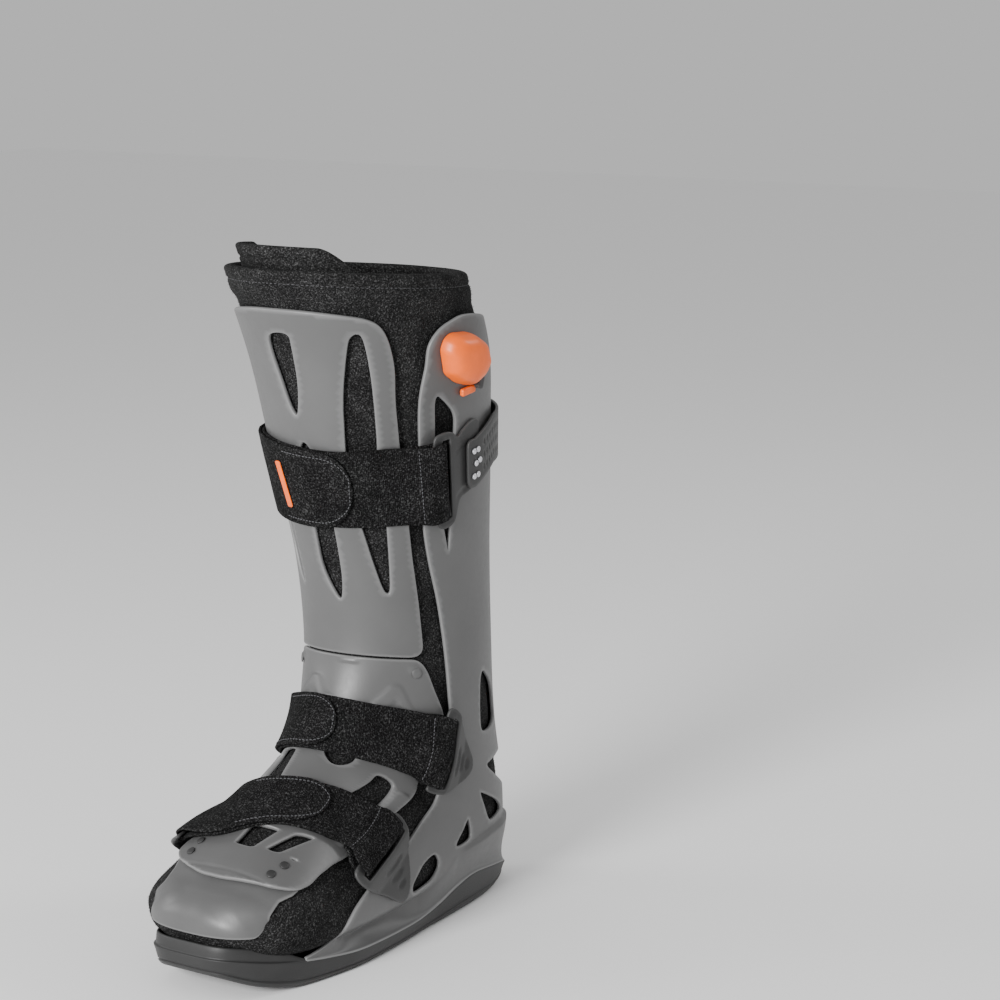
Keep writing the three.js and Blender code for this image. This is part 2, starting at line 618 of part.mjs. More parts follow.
// Fittings, as outlines of [millimetres behind the bar's middle, share of the strap's width].
const barShares = [-0.1, 0.14, 0.38, 0.62, 0.86, 1.1];
const barFront = barShares.map((share) => [-barWidth / 2, share]);
const calfPlate = [
  ...barFront, [4, 1.14], [11, 1.11], [16, 0.88], [31, 0.88], [40, 0.84], [41, 0.7], [35, 0.62],
  [35, 0.2], [40, 0.1], [39, -0.06], [31, -0.1], [16, 0.04], [11, -0.1], [4, -0.13],
];
const trianglePlate = (reach) => [
  ...barFront, [4, 1.14], [11, 1.12], [reach * 0.83, 0.82], [reach * 0.97, 0.66],
  [reach, 0.5], [reach * 0.95, 0.34], [reach * 0.75, 0.16], [11, -0.1], [4, -0.13],
];

// Flat fitting with a slot for the strap. Its bar stands off the strap and its rear lies on the
// shell.
function fitting(strap, outline, end) {
  const spot = ([behind, share]) => strap.place(end === "inner" ? -behind : strap.length + behind, share);
  const slotEnd = barWidth / 2 + slotWidth;
  const angleAt = (behind, s) => {
    const [[top, upper], [bottom, lowest]] = [0, 1].map((share) => spot([behind, share]));
    return lerp(upper, lowest, (s - top) / (bottom - top));
  };
  const lower = (s, a) => {
    const [from, to] = [angleAt(slotEnd + 1, s), angleAt(slotEnd + 13, s)];
    const rear = strapInner - strapGap + gap + raised(s);
    return lerp(barInner + strapRise(s), rear, clamp((a - from) / (to - from), 0, 1));
  };
  const plate = panel(outline.map(spot), lower, (s, a) => lower(s, a) + plateWall, 6, 7);
  const slotShares = stations(-0.04, 1.04, 5);
  const slot = [barWidth / 2, slotEnd].flatMap((behind, k) =>
    (k ? slotShares.toReversed() : slotShares).map((share) => spot([behind, share])),
  );
  return plate.subtract(prism(slot));
}

// Rear band: station of its middle and half height by angle from the back, the same both sides.
const bandMiddles = [[0, 1.76], [60, 1.84], [84, 2.03], [94, 2.04]];
const bandHalf = 0.245;
const bandEnd = 91; // angle from the back at which the band ends
const studPlaces = [[-0.12, 85], [-0.12, 79.5], [0, 83], [0, 77], [0.12, 85], [0.12, 79.5]];

function rearBand() {
  const place = (side, j) => {
    const a = lerp(180 - bandEnd, 180 + bandEnd, j);
    const back = Math.abs(a - 180);
    const rounding = Math.sqrt(1 - smoothstep(back, bandEnd - 7, bandEnd + 1) ** 2 * 0.6);
    return [along(bandMiddles, back) + side * bandHalf * rounding, a];
  };
  return wall({ cuts: [-1, 1], columns: 26, place, inner: bandInner, outer: bandInner + bandWall });
}

function turned(profile, segments) {
  return new THREE.LatheGeometry(profile.map(([r, z]) => new THREE.Vector2(r, z)), segments).rotateX(Math.PI / 2);
}

// Stud standing on z 0, narrower at its top.
const stud = (radius, height) => turned([[0, 0], [radius, 0], [radius * 0.8, height], [0, height]], 8);

const bulbOutline = [
  [0.64, 86], [0.66, 96], [0.76, 107], [0.98, 110], [1.11, 104], [1.2, 91], [1.16, 82], [1.05, 73], [0.8, 74], [0.69, 79],
];
const bulbCentre = [0.9, 91];

function pumpBulb() {
  const dome = (s, a) => {
    const off = Math.hypot((s - bulbCentre[0]) / 0.29, (a - bulbCentre[1]) / 19);
    return strapInner + bulbFoot + bulbRise * Math.sqrt(Math.max(0, 1 - clamp(off, 0, 1) ** 2.6));
  };
  return panel(bulbOutline, shellOuter + gap, dome, 7, 7);
}

function pumpValve() {
  const collar = 1.4;
  const stem = valveRadius * 0.7;
  const profile = [[0, 0], [valveRadius, 0], [valveRadius, collar], [stem, collar], [stem, valveLength], [0, valveLength]];
  return turned(profile, 8).rotateX(-Math.PI / 2).rotateZ(degToRad(8));
}

// Loop of the pump's release tab: a flat ring with a straight side.
function pumpHook() {
  const shape = new THREE.Shape([[-6, 0], [5, 0], [5, 3], [0.5, 5], [-6, 4]].map(([x, y]) => new THREE.Vector2(x, y)));
  return new THREE.ExtrudeGeometry(shape, { depth: hookBar, bevelEnabled: false });
}

// Inner flap of the liner, which stands above the rim at the front and slopes down at its end.
function rimFlap() {
  const skin = (inset) =>
    stations(-flapReach, 1.1, 5).map((s) =>
      stations(0, 1, 10).map((share) => {
        const slope = s < 0 ? 0.8 * flapReach * smoothstep(share, 0.8, 1) : 0;
        return bodyPoint(s + slope, lerp(-84, 52, share), inset);
      }),
    );
  return sheetBetween(skin(linerWall + flapClearance), skin(linerWall + flapClearance + flapWall));
}

// Stretch of the liner. Its hollow is open at the rim and closed round the toes.
function liner(from, to) {
  const inside = stations(-rimReach - 0.3, toeStation - 0.9, 14).map((s) =>
    roundAngles.map((a) => bodyPoint(s, a, linerWall - 1.5 * smoothstep(s, 9, 12))),
  );
  return bodySolid(from, to, 0).subtract(ringLoft(inside));
}

function labelSolid(strap) {
  const [s, a] = strap.place(strap.length * 0.585, 0.5);
  const block = new THREE.BoxGeometry(labelSize.width, labelSize.height, labelSize.wall);
  return block.applyMatrix4(seatAt(s, a, flapLevel + strapWall / 2 + gap + labelSize.wall / 2, 4));
}

const materials = {
  shell: new THREE.MeshStandardMaterial({ color: 0x86868a, roughness: 0.5, metalness: 0 }),
  rubber: new THREE.MeshStandardMaterial({ color: 0x3a3a3c, roughness: 0.7, metalness: 0 }),
  sole: new THREE.MeshStandardMaterial({ color: 0x414143, roughness: 0.75, metalness: 0 }),
  plush: new THREE.MeshStandardMaterial({ color: 0x1c1c1e, roughness: 0.95, metalness: 0 }),
  webbing: new THREE.MeshStandardMaterial({ color: 0x1a1a1c, roughness: 0.95, metalness: 0 }),
  orange: new THREE.MeshStandardMaterial({ color: 0xff6a22, roughness: 0.45, metalness: 0 }),
  metal: new THREE.MeshStandardMaterial({ color: 0xc8c8cc, roughness: 0.3, metalness: 0.8 }),
};

const boot = new THREE.Group();

function addSolid(name, solid, material) {
  const { vertProperties, triVerts } = solid.getMesh();
  const geometry = new THREE.BufferGeometry();
  geometry.setAttribute("position", new THREE.BufferAttribute(new Float32Array(vertProperties), 3));
  geometry.setIndex(new THREE.BufferAttribute(new Uint32Array(triVerts), 1));
  geometry.computeVertexNormals();
  const mesh = new THREE.Mesh(geometry, material);
  mesh.name = name;
  boot.add(mesh);
}

function addSeated(name, geometry, material, seat) {
  const mesh = new THREE.Mesh(geometry, material);
  mesh.name = name;
  mesh.applyMatrix4(seat);
  boot.add(mesh);
}

addSolid("outsole", outsole(), materials.sole);
addSolid("base_shell", baseShell(), materials.shell);
addSolid("shin_shell", shinShell(), materials.shell);
addSolid("instep_shell", instepShell(), materials.shell);
addSolid("toe_cap", toeCap(), materials.shell);
addSolid("liner", liner(-rimReach, footSeam), materials.plush);
addSolid("liner_foot", liner(footSeam + footSeamGap, toeStation), materials.plush);
addSolid("liner_flap", rimFlap(), materials.plush);

const straps = {
  calf: { strap: strapOf(calfTable), flapShare: 0.32, roundEnd: 20, plate: calfPlate },
  ankle: { strap: strapOf(ankleTable), flapShare: 0.44, roundEnd: 16, plate: trianglePlate(34) },
  forefoot: { strap: strapOf(forefootTable), flapShare: 0.3, roundEnd: 18, plate: trianglePlate(46) },
};
for (const [name, { strap, flapShare, roundEnd, plate }] of Object.entries(straps)) {
  addSolid(name + "_strap", strapSolid(strap, strap.length * flapShare, roundEnd), materials.webbing);
  addSolid(name + "_buckle_inner", fitting(strap, plate, "inner"), materials.rubber);
  addSolid(name + "_buckle_outer", fitting(strap, plate, "outer"), materials.rubber);
}
addSolid("rear_band", rearBand(), materials.rubber);
addSeated("strap_label", labelSolid(straps.calf.strap), materials.orange, new THREE.Matrix4());

for (const [side, label] of [[1, "inner"], [-1, "outer"]]) {
  studPlaces.forEach(([rise, back], k) => {
    const s = along(bandMiddles, back) + rise;
    const seat = seatAt(s, side * (180 - back), bandInner + bandWall + gap);
    addSeated("band_stud_" + label + "_" + (k + 1), stud(studRadius, studWall), materials.metal, seat);
  });
  toeHoles.forEach(([s, a], k) => {
    const seat = seatAt(s, along(shinAxis, s) + side * a, shellOuter + raised(s) + gap);
    addSeated("toe_stud_" + label + "_" + (k + 1), stud(toeStudRadius, studWall), materials.rubber, seat);
  });
  const rivetSeat = seatAt(4.45, along(shinAxis, 4.45) + side * 38, shellOuter + gap);
  addSeated("rivet_" + label, stud(rivetRadius, studWall), materials.shell, rivetSeat);
}
addSolid("pump_bulb", pumpBulb(), materials.orange);
addSeated("pump_valve", pumpValve(), materials.rubber, seatAt(1.29, 100, shellOuter + gap + valveRadius));
addSeated("pump_hook", pumpHook(), materials.orange, seatAt(1.34, 91, shellOuter + gap));

export default boot;
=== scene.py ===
import math

import bmesh
import bpy
import numpy as np
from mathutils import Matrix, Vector
from mathutils.geometry import delaunay_2d_cdt
from mathutils.kdtree import KDTree


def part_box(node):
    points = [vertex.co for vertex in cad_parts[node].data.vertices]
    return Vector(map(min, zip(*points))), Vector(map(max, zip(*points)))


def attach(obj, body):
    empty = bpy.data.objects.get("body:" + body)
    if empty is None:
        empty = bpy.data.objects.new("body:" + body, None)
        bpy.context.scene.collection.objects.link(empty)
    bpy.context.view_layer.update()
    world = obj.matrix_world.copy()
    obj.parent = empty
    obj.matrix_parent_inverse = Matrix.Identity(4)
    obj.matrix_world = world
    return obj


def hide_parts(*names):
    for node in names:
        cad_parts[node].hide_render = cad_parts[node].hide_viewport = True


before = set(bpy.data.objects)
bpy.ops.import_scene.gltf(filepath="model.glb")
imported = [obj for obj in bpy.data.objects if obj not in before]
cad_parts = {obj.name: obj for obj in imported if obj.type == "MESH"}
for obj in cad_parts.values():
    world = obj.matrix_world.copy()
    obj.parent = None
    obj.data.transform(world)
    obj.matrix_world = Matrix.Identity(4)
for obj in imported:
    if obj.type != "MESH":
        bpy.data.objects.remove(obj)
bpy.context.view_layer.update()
print("frame loaded")

# Lengths are in millimetres until a mesh is made.
metre = 1000.0

# Camera, at the photo's angle
view = {
    "azimuth": 38, "elevation": 12.7, "distance": 1800, "lens": 103.68, "sensor": 36,
    "target": (0, 0, 0.2), "aimRight": 158, "aimUp": 118, "focal": 2880,
}


def placed(name, data):
    thing = bpy.data.objects.new(name, data)
    bpy.context.scene.collection.objects.link(thing)
    return thing


def makeCamera():
    camera = placed("camera", bpy.data.cameras.new("camera"))
    a, e = math.radians(view["azimuth"]), math.radians(view["elevation"])
    back = Vector((math.sin(a) * math.cos(e), -math.cos(a) * math.cos(e), math.sin(e)))
    right = Vector((math.cos(a), math.sin(a), 0))
    up = back.cross(right)
    aim = -back * view["focal"] + right * view["aimRight"] + up * view["aimUp"]
    camera.location = Vector(view["target"]) + back * view["distance"] / metre
    camera.rotation_euler = aim.to_track_quat("-Z", "Y").to_euler()
    camera.data.lens = view["lens"]
    camera.data.sensor_width = view["sensor"]
    camera.data.clip_end = 50
    bpy.context.scene.camera = camera


makeCamera()

# Sizes of the liner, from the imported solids
linerBoxes = np.array([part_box("liner"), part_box("liner_foot")]) * metre
linerLow, linerHigh = linerBoxes[:, 0].min(0), linerBoxes[:, 1].max(0)
soleLow, soleHigh = (np.array(c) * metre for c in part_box("outsole"))
footLength = (linerHigh[1] - linerLow[1]) / 0.95
footBedHeight = linerLow[2]
ankleRise = 166
ankleHeight = footBedHeight + ankleRise
shaftLength = 224
calfWidth = 140
ballWidth = 110

# Sizes that the solids are built with
linerWall = 8
shellGap = 1.1
shellWall = 3
strapWall = 1.8
plateWall = 2
strapGap = 0.6
footStrapRise = 0.75
barGap = 1.1
barWidth = 5
slotWidth = 6.5
returnLength = 16
shellOuter = shellGap + shellWall
strapInner = shellOuter + strapGap
mainLevel = strapInner + strapWall / 2
flapLevel = mainLevel + strapWall + 0.8
barInner = strapInner + strapWall + barGap
outerLevel = barInner + plateWall + barGap + strapWall / 2
foldRadius = (outerLevel - mainLevel) / 2
foldPlace = barWidth / 2 + barGap - math.sqrt((foldRadius - strapWall / 2) ** 2 - (plateWall / 2) ** 2)
bandInner = shellOuter + plateWall + 0.8

# Cross-sections of the liner from the rim to the toe. Columns: front y, front z, back y, back z,
# half width, where it is widest, and how square its front and back are. Each y is a share of
# footLength; leg heights are shares of shaftLength, foot heights of ankleRise.
legSections = np.array([
    [-0.22, 1.0, 0.287, 0.955, 0.5, 0.5, 2, 2],
    [-0.157, 0.777, 0.357, 0.759, 0.471, 0.5, 2, 2],
    [-0.107, 0.509, 0.383, 0.491, 0.421, 0.5, 2, 2],
    [-0.05, 0.232, 0.397, 0.205, 0.371, 0.5, 2, 2],
    [-0.027, 0, 0.407, -0.062, 0.357, 0.5, 2, 2],
])
footSections = np.array([
    [-0.047, 0.807, 0.42, 0.566, 0.436, 0.5, 2, 2.2],
    [-0.087, 0.699, 0.447, 0.229, 0.409, 0.55, 2, 2.6],
    [-0.14, 0.602, 0.413, 0.05, 0.391, 0.6, 2, 3.2],
    [-0.193, 0.524, 0.227, 0.018, 0.427, 0.64, 2, 4],
    [-0.253, 0.452, 0.04, 0.004, 0.464, 0.66, 2, 4.6],
    [-0.327, 0.373, -0.16, 0, 0.5, 0.64, 2.1, 5],
    [-0.4, 0.295, -0.327, 0.006, 0.491, 0.6, 2.2, 4.6],
    [-0.467, 0.205, -0.433, 0.03, 0.4, 0.55, 2.3, 3.4],
    [-0.503, 0.133, -0.493, 0.072, 0.2, 0.5, 2.2, 2.2],
])
legScale = [footLength, shaftLength, footLength, shaftLength, calfWidth, 1, 1, 1]
footScale = [footLength, ankleRise, footLength, ankleRise, ballWidth, 1, 1, 1]
heights = np.array([0, 1, 0, 1, 0, 0, 0, 0])
sections = np.vstack([
    legSections * legScale + heights * ankleHeight,
    footSections * footScale + heights * footBedHeight,
])
toeStation = len(sections) - 1


# Smooth curve through rows of numbers, at places counted in rows.
def through(rows, at):
    at = np.atleast_1d(np.asarray(at, float))
    last = len(rows) - 1
    i = np.clip(np.floor(at).astype(int), 0, last - 1)
    t = (at - i)[:, None]
    a, b, c, d = (rows[np.clip(i + k, 0, last)] for k in (-1, 0, 1, 2))
    curve = 0.5 * (2 * b + (c - a) * t + (2 * a - 5 * b + 4 * c - d) * t**2 + (3 * b - a - 3 * c + d) * t**3)
    above = rows[0] + at[:, None] * (rows[1] - rows[0])
    return np.where(at[:, None] < 0, above, curve)


# Value of a two-column table at a place.
def along(table, at):
    table = np.asarray(table, float)
    return np.interp(at, table[:, 0], table[:, 1])


# Soft step from 0 at low to 1 at high.
def smooth(x, low, high):
    t = np.clip((np.asarray(x, float) - low) / (high - low), 0, 1)
    return t * t * (3 - 2 * t)


# Points on the liner's outside at stations and at angles round it from the front, in degrees,
# positive towards the inner side of the leg. Inset moves them inwards within their sections.
def bodyPoints(station, angle, inset=0.0):
    station, angle, inset = (x.ravel() for x in np.broadcast_arrays(station, angle, inset))
    fy, fz, by, bz, half, widest, front, rear = through(sections, station).T
    across, forward = np.sin(np.radians(angle)), np.cos(np.radians(angle))
    depth = np.hypot(by - fy, bz - fz)
    reach = depth * np.where(forward >= 0, widest, 1 - widest)
    power = np.where(forward >= 0, front, rear)
    full = (np.abs(across / half) ** power + np.abs(forward / reach) ** power) ** (-1 / power)
    radius = full - inset
    share = widest - radius * forward / depth
    return np.stack([radius * across, fy + (by - fy) * share, fz + (bz - fz) * share], 1)


def unit(rows):
    return rows / np.maximum(np.linalg.norm(rows, axis=1, keepdims=True), 1e-9)


def outward(station, angle):
    down = bodyPoints(station + 0.01, angle) - bodyPoints(station - 0.01, angle)
    around = bodyPoints(station, angle + 0.5) - bodyPoints(station, angle - 0.5)
    return unit(np.cross(down, around))


def onBody(station, angle, out):
    station, angle, out = (np.asarray(x, float).ravel() for x in np.broadcast_arrays(station, angle, out))
    return bodyPoints(station, angle) + outward(station, angle) * out[:, None]


# Distance travelled at each point of a line.
def travel(path):
    return np.concatenate([[0], np.cumsum(np.linalg.norm(np.diff(path, axis=0), axis=1))])


def sampled(path, lengths, at):
    return np.stack([np.interp(at, lengths, path[:, k]) for k in (0, 1)], 1)


def circle(count):
    turn = np.linspace(0, 2 * np.pi, count, endpoint=False)
    return np.stack([np.cos(turn), np.sin(turn)], 1)


def everyPair(first, second):
    return (m.ravel() for m in np.meshgrid(first, second, indexing="ij"))


# Flat map of the body in millimetres, for filling outlines: angle across and station down.
degreeWidth = 0.95
mapStations = np.arange(-1, toeStation + 1.01, 0.05)
sideLine = bodyPoints(mapStations, 110.0)
mapLengths = travel(sideLine)


def toMap(places):
    places = np.asarray(places, float)
    return np.stack([places[:, 1] * degreeWidth, np.interp(places[:, 0], mapStations, mapLengths)], 1)


def fromMap(plane):
    return np.interp(plane[:, 1], mapLengths, mapStations), plane[:, 0] / degreeWidth


# Noise that is the same each run: a sum of waves in fixed directions.
def ripple(points, size, seed):
    chance = np.random.default_rng(seed)
    total = np.zeros(len(points))
    for _ in range(7):
        direction = chance.normal(size=3)
        direction *= chance.uniform(0.6, 1.6) * 2 * np.pi / size / np.linalg.norm(direction)
        total += np.sin(points @ direction + chance.uniform(0, 6.28))
    return total / 4


# Outline with rounded corners, sampled evenly.
def rounded(corners, radius, step=1.5):
    corners = np.asarray(corners, float)
    path = []
    for before, here, after in zip(np.roll(corners, 1, 0), corners, np.roll(corners, -1, 0)):
        reachIn = min(radius, 0.48 * np.linalg.norm(before - here))
        reachOut = min(radius, 0.48 * np.linalg.norm(after - here))
        start = here + (before - here) / max(np.linalg.norm(before - here), 1e-6) * reachIn
        end = here + (after - here) / max(np.linalg.norm(after - here), 1e-6) * reachOut
        t = np.linspace(0, 1, 7)[:, None]
        path.append((1 - t) ** 2 * start + 2 * t * (1 - t) * here + t**2 * end)
    return resample(np.vstack(path), step)


def resample(path, step):
    closed = np.vstack([path, path[:1]])
    lengths = travel(closed)
    count = max(8, int(lengths[-1] / step))
    return sampled(closed, lengths, np.linspace(0, lengths[-1], count, endpoint=False))


# Which points lie within a loop.
def inside(points, loop):
    found = np.zeros(len(points), bool)
    for (x1, y1), (x2, y2) in zip(loop, np.roll(loop, -1, 0)):
        crosses = (y1 > points[:, 1]) != (y2 > points[:, 1])
        x = x1 + (points[:, 1] - y1) / (y2 - y1 if y2 != y1 else 1e-12) * (x2 - x1)
        found ^= crosses & (points[:, 0] < x)
    return found


def treeOf(points):
    tree = KDTree(len(points))
    for i, p in enumerate(points):
        tree.insert((*p, 0), i)
    tree.balance()
    return tree


# Even triangles over an outline with holes.
def fillOutline(loops, spacing):
    rim = np.vstack(loops)
    tree = treeOf(rim)
    edges, start = [], 0
    for loop in loops:
        edges += [(start + i, start + (i + 1) % len(loop)) for i in range(len(loop))]
        start += len(loop)
    low, high = loops[0].min(0), loops[0].max(0)
    places = np.arange(low[0], high[0], spacing)
    rows = np.arange(low[1], high[1], spacing * 0.87)
    grid = np.array([(x + (j % 2) * spacing / 2, y) for j, y in enumerate(rows) for x in places])
    grid = grid[inside(grid, loops[0])]
    for hole in loops[1:]:
        grid = grid[~inside(grid, hole)]
    clear = [tree.find((*p, 0))[2] > spacing * 0.55 for p in grid]
    grid = grid[np.array(clear, bool)]
    points = [Vector(p) for p in np.vstack([rim, grid])]
    found = delaunay_2d_cdt(points, edges, [], 0, 1e-5)
    plane = np.array([tuple(p) for p in found[0]])
    faces = np.array([f for f in found[2] if len(f) == 3])
    middle = plane[faces].mean(1)
    keep = inside(middle, loops[0])
    for hole in loops[1:]:
        keep &= ~inside(middle, hole)
    return plane, faces[keep]


def gridFaces(rows, columns, wrap=False):
    i, j = np.meshgrid(np.arange(rows - 1), np.arange(columns if wrap else columns - 1), indexing="ij")
    k = (j + 1) % columns
    corners = [i * columns + j, (i + 1) * columns + j, (i + 1) * columns + k, i * columns + k]
    return np.stack(corners, -1).reshape(-1, 4)


def halved(quads):
    return np.vstack([quads[:, [0, 1, 2]], quads[:, [0, 2, 3]]])


# Faces of a stack of rings, closed at its ends by fans to the last two points.
def stackFaces(rings, columns):
    faces = gridFaces(rings, columns, True).tolist()
    tip = rings * columns
    for j in range(columns):
        k = (j + 1) % columns
        faces.append([tip, j, k])
        faces.append([tip + 1, tip - columns + k, tip - columns + j])
    return faces


# Curve between two ends that leaves and arrives in given directions, at a share of the way.
def bend(start, leave, end, arrive, share):
    square, cube = share**2, share**3
    near = (2 * cube - 3 * square + 1) * start + (cube - 2 * square + share) * leave
    return near + (-2 * cube + 3 * square) * end + (cube - square) * arrive


# Mesh object from points in millimetres, with its flat map and its edge attribute.
def makeObject(name, points, faces, plane=None, edge=None):
    mesh = bpy.data.meshes.new(name)
    mesh.from_pydata((points / metre).tolist(), [], [list(map(int, f)) for f in faces])
    if plane is not None:
        uv = mesh.uv_layers.new(name="UVMap")
        corners = np.zeros(len(mesh.loops), int)
        mesh.loops.foreach_get("vertex_index", corners)
        uv.data.foreach_set("uv", (plane[corners] / metre).ravel())
    if edge is not None:
        mesh.attributes.new("edge", "FLOAT", "POINT").data.foreach_set("value", edge.astype(np.float32))
    mesh.polygons.foreach_set("use_smooth", np.ones(len(mesh.polygons), bool))
    mesh.update()
    return placed(name, mesh)


# Closed sheet between an outer and an inner skin, with a rounded rim.
def closeSheet(name, outer, inner, faces, plane, bulge, steps=6):
    count = len(outer)
    normal = unit(outer - inner)
    if meanFacing(outer, faces, normal) < 0:
        faces = faces[:, ::-1]
    directed = np.stack([faces, np.roll(faces, -1, axis=1)], -1).reshape(-1, 2)
    keys, reverse = directed @ [count, 1], directed @ [1, count]
    rim = directed[~np.isin(keys, reverse)]
    after, before = np.arange(count), np.arange(count)
    after[rim[:, 0]] = rim[:, 1]
    before[rim[:, 1]] = rim[:, 0]
    verts = rim[:, 0]
    run = outer[after[verts]] - outer[before[verts]]
    aside = unit(np.cross(run, normal[verts]))
    place = np.full(count, -1)
    place[verts] = np.arange(len(verts))
    rings, ringId = [], [verts]
    for k in range(1, steps):
        down = (1 - math.cos(math.pi * k / steps)) / 2
        swell = bulge * math.sin(math.pi * k / steps)
        rings.append(outer[verts] * (1 - down) + inner[verts] * down + aside * swell)
        ringId.append(2 * count + (k - 1) * len(verts) + np.arange(len(verts)))
    ringId.append(count + verts)
    a, b = place[rim[:, 0]], place[rim[:, 1]]
    sides = [np.stack([top[b], top[a], low[a], low[b]], 1) for top, low in zip(ringId, ringId[1:])]
    allFaces = [*faces.tolist(), *(faces[:, ::-1] + count).tolist(), *np.vstack(sides).tolist()]
    # The edge attribute marks the rim, where the materials paint a highlight.
    edge = np.zeros(2 * count)
    edge[verts] = 0.6
    edge = np.concatenate([edge, np.ones(len(verts) * (steps - 1))])
    flat = np.vstack([plane, plane, *[plane[verts]] * (steps - 1)])
    return makeObject(name, np.vstack([outer, inner, *rings]), allFaces, flat, edge)


def meanFacing(points, faces, normal):
    a, b, c = (points[faces[:, k]] for k in (0, 1, 2))
    return (np.cross(b - a, c - a) * normal[faces[:, 0]]).sum()


# Material and body of a piece, and the solids that it stands for.
def finished(thing, material, slot, *nodes):
    thing.data.materials.append(material)
    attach(thing, "root")
    if nodes:
        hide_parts(*nodes)
    return thing


# Materials
def newMaterial(name, settings):
    material = bpy.data.materials.new(name)
    material.use_nodes = True
    nodes, links = material.node_tree.nodes, material.node_tree.links
    shader = nodes["Principled BSDF"]
    for key, value in settings.items():
        shader.inputs[key].default_value = value
    return material, nodes, links, shader


def noiseNode(nodes, links, source, scale, detail=3.0, roughness=0.55):
    noise = nodes.new("ShaderNodeTexNoise")
    noise.inputs["Scale"].default_value = scale
    noise.inputs["Detail"].default_value = detail
    noise.inputs["Roughness"].default_value = roughness
    links.new(source, noise.inputs["Vector"])
    return noise.outputs["Fac"]


def rampNode(nodes, links, source, stops):
    ramp = nodes.new("ShaderNodeValToRGB")
    while len(ramp.color_ramp.elements) < len(stops):
        ramp.color_ramp.elements.new(0.5)
    for element, (place, colour) in zip(ramp.color_ramp.elements, stops):
        element.position = place
        element.color = (*colour, 1)
    links.new(source, ramp.inputs["Fac"])
    return ramp.outputs["Color"]


def bumpNode(nodes, links, height, strength, distance, under=None):
    bump = nodes.new("ShaderNodeBump")
    bump.inputs["Strength"].default_value = strength
    bump.inputs["Distance"].default_value = distance
    links.new(height, bump.inputs["Height"])
    if under is not None:
        links.new(under, bump.inputs["Normal"])
    return bump.outputs["Normal"]


def mixNode(nodes, links, factor, a, b, kind="MIX"):
    mix = nodes.new("ShaderNodeMix")
    mix.data_type = "RGBA"
    mix.blend_type = kind
    for socket, value in ((mix.inputs[0], factor), (mix.inputs[6], a), (mix.inputs[7], b)):
        if isinstance(value, bpy.types.NodeSocket):
            links.new(value, socket)
        else:
            socket.default_value = value
    return mix.outputs[2]


# Paler tone where the mesh's edge attribute is high: a painted highlight along the rims.
def rimHighlightTone(nodes, links, tone, wearAndHighlight, share):
    edge = nodes.new("ShaderNodeAttribute")
    edge.attribute_name = "edge"
    factor = nodes.new("ShaderNodeMath")
    factor.operation = "MULTIPLY"
    factor.inputs[1].default_value = share
    links.new(edge.outputs["Fac"], factor.inputs[0])
    return mixNode(nodes, links, factor.outputs[0], tone, (wearAndHighlight, wearAndHighlight, wearAndHighlight, 1))


# Plastic settings: edge and edgeShare are the tone and strength of a painted highlight along the rims.
plastic = {
    "dark": 0.068, "light": 0.088, "edge": 0.24, "edgeShare": 0.55, "cloud": 14, "scratch": 260,
    "smooth": 0.34, "rough": 0.52, "grain": 900, "bump": 0.12,
}


def plasticMaterial():
    material, nodes, links, shader = newMaterial("shellPlastic", {"Specular IOR Level": 0.55})
    where = nodes.new("ShaderNodeTexCoord").outputs["Object"]
    cloud = noiseNode(nodes, links, where, plastic["cloud"], 4)
    tone = rampNode(nodes, links, cloud, [(0.3, [plastic["dark"]] * 3), (0.7, [plastic["light"]] * 3)])
    # Rims paler: a painted highlight along the shell's edges.
    wearAndHighlight = rimHighlightTone(nodes, links, tone, plastic["edge"], plastic["edgeShare"])
    links.new(wearAndHighlight, shader.inputs["Base Color"])
    scuff = noiseNode(nodes, links, where, plastic["scratch"], 6, 0.7)
    rough = nodes.new("ShaderNodeMapRange")
    rough.inputs["To Min"].default_value = plastic["smooth"]
    rough.inputs["To Max"].default_value = plastic["rough"]
    links.new(scuff, rough.inputs["Value"])
    links.new(rough.outputs["Result"], shader.inputs["Roughness"])
    grain = noiseNode(nodes, links, where, plastic["grain"], 2)
    links.new(bumpNode(nodes, links, grain, plastic["bump"], 0.0003), shader.inputs["Normal"])
    return material


def rubberMaterial(name, dark, light, roughness):
    material, nodes, links, shader = newMaterial(name, {"Roughness": roughness, "Specular IOR Level": 0.4})
    where = nodes.new("ShaderNodeTexCoord").outputs["Object"]
    cloud = noiseNode(nodes, links, where, 30, 5)
    tone = rampNode(nodes, links, cloud, [(0.3, [dark] * 3), (0.72, [light] * 3)])
    # Rims paler: a painted highlight along the rubber's edges.
    links.new(rimHighlightTone(nodes, links, tone, light * 4, 0.3), shader.inputs["Base Color"])
    grain = noiseNode(nodes, links, where, 1400, 3)
    links.new(bumpNode(nodes, links, grain, 0.25, 0.0003), shader.inputs["Normal"])
    return material


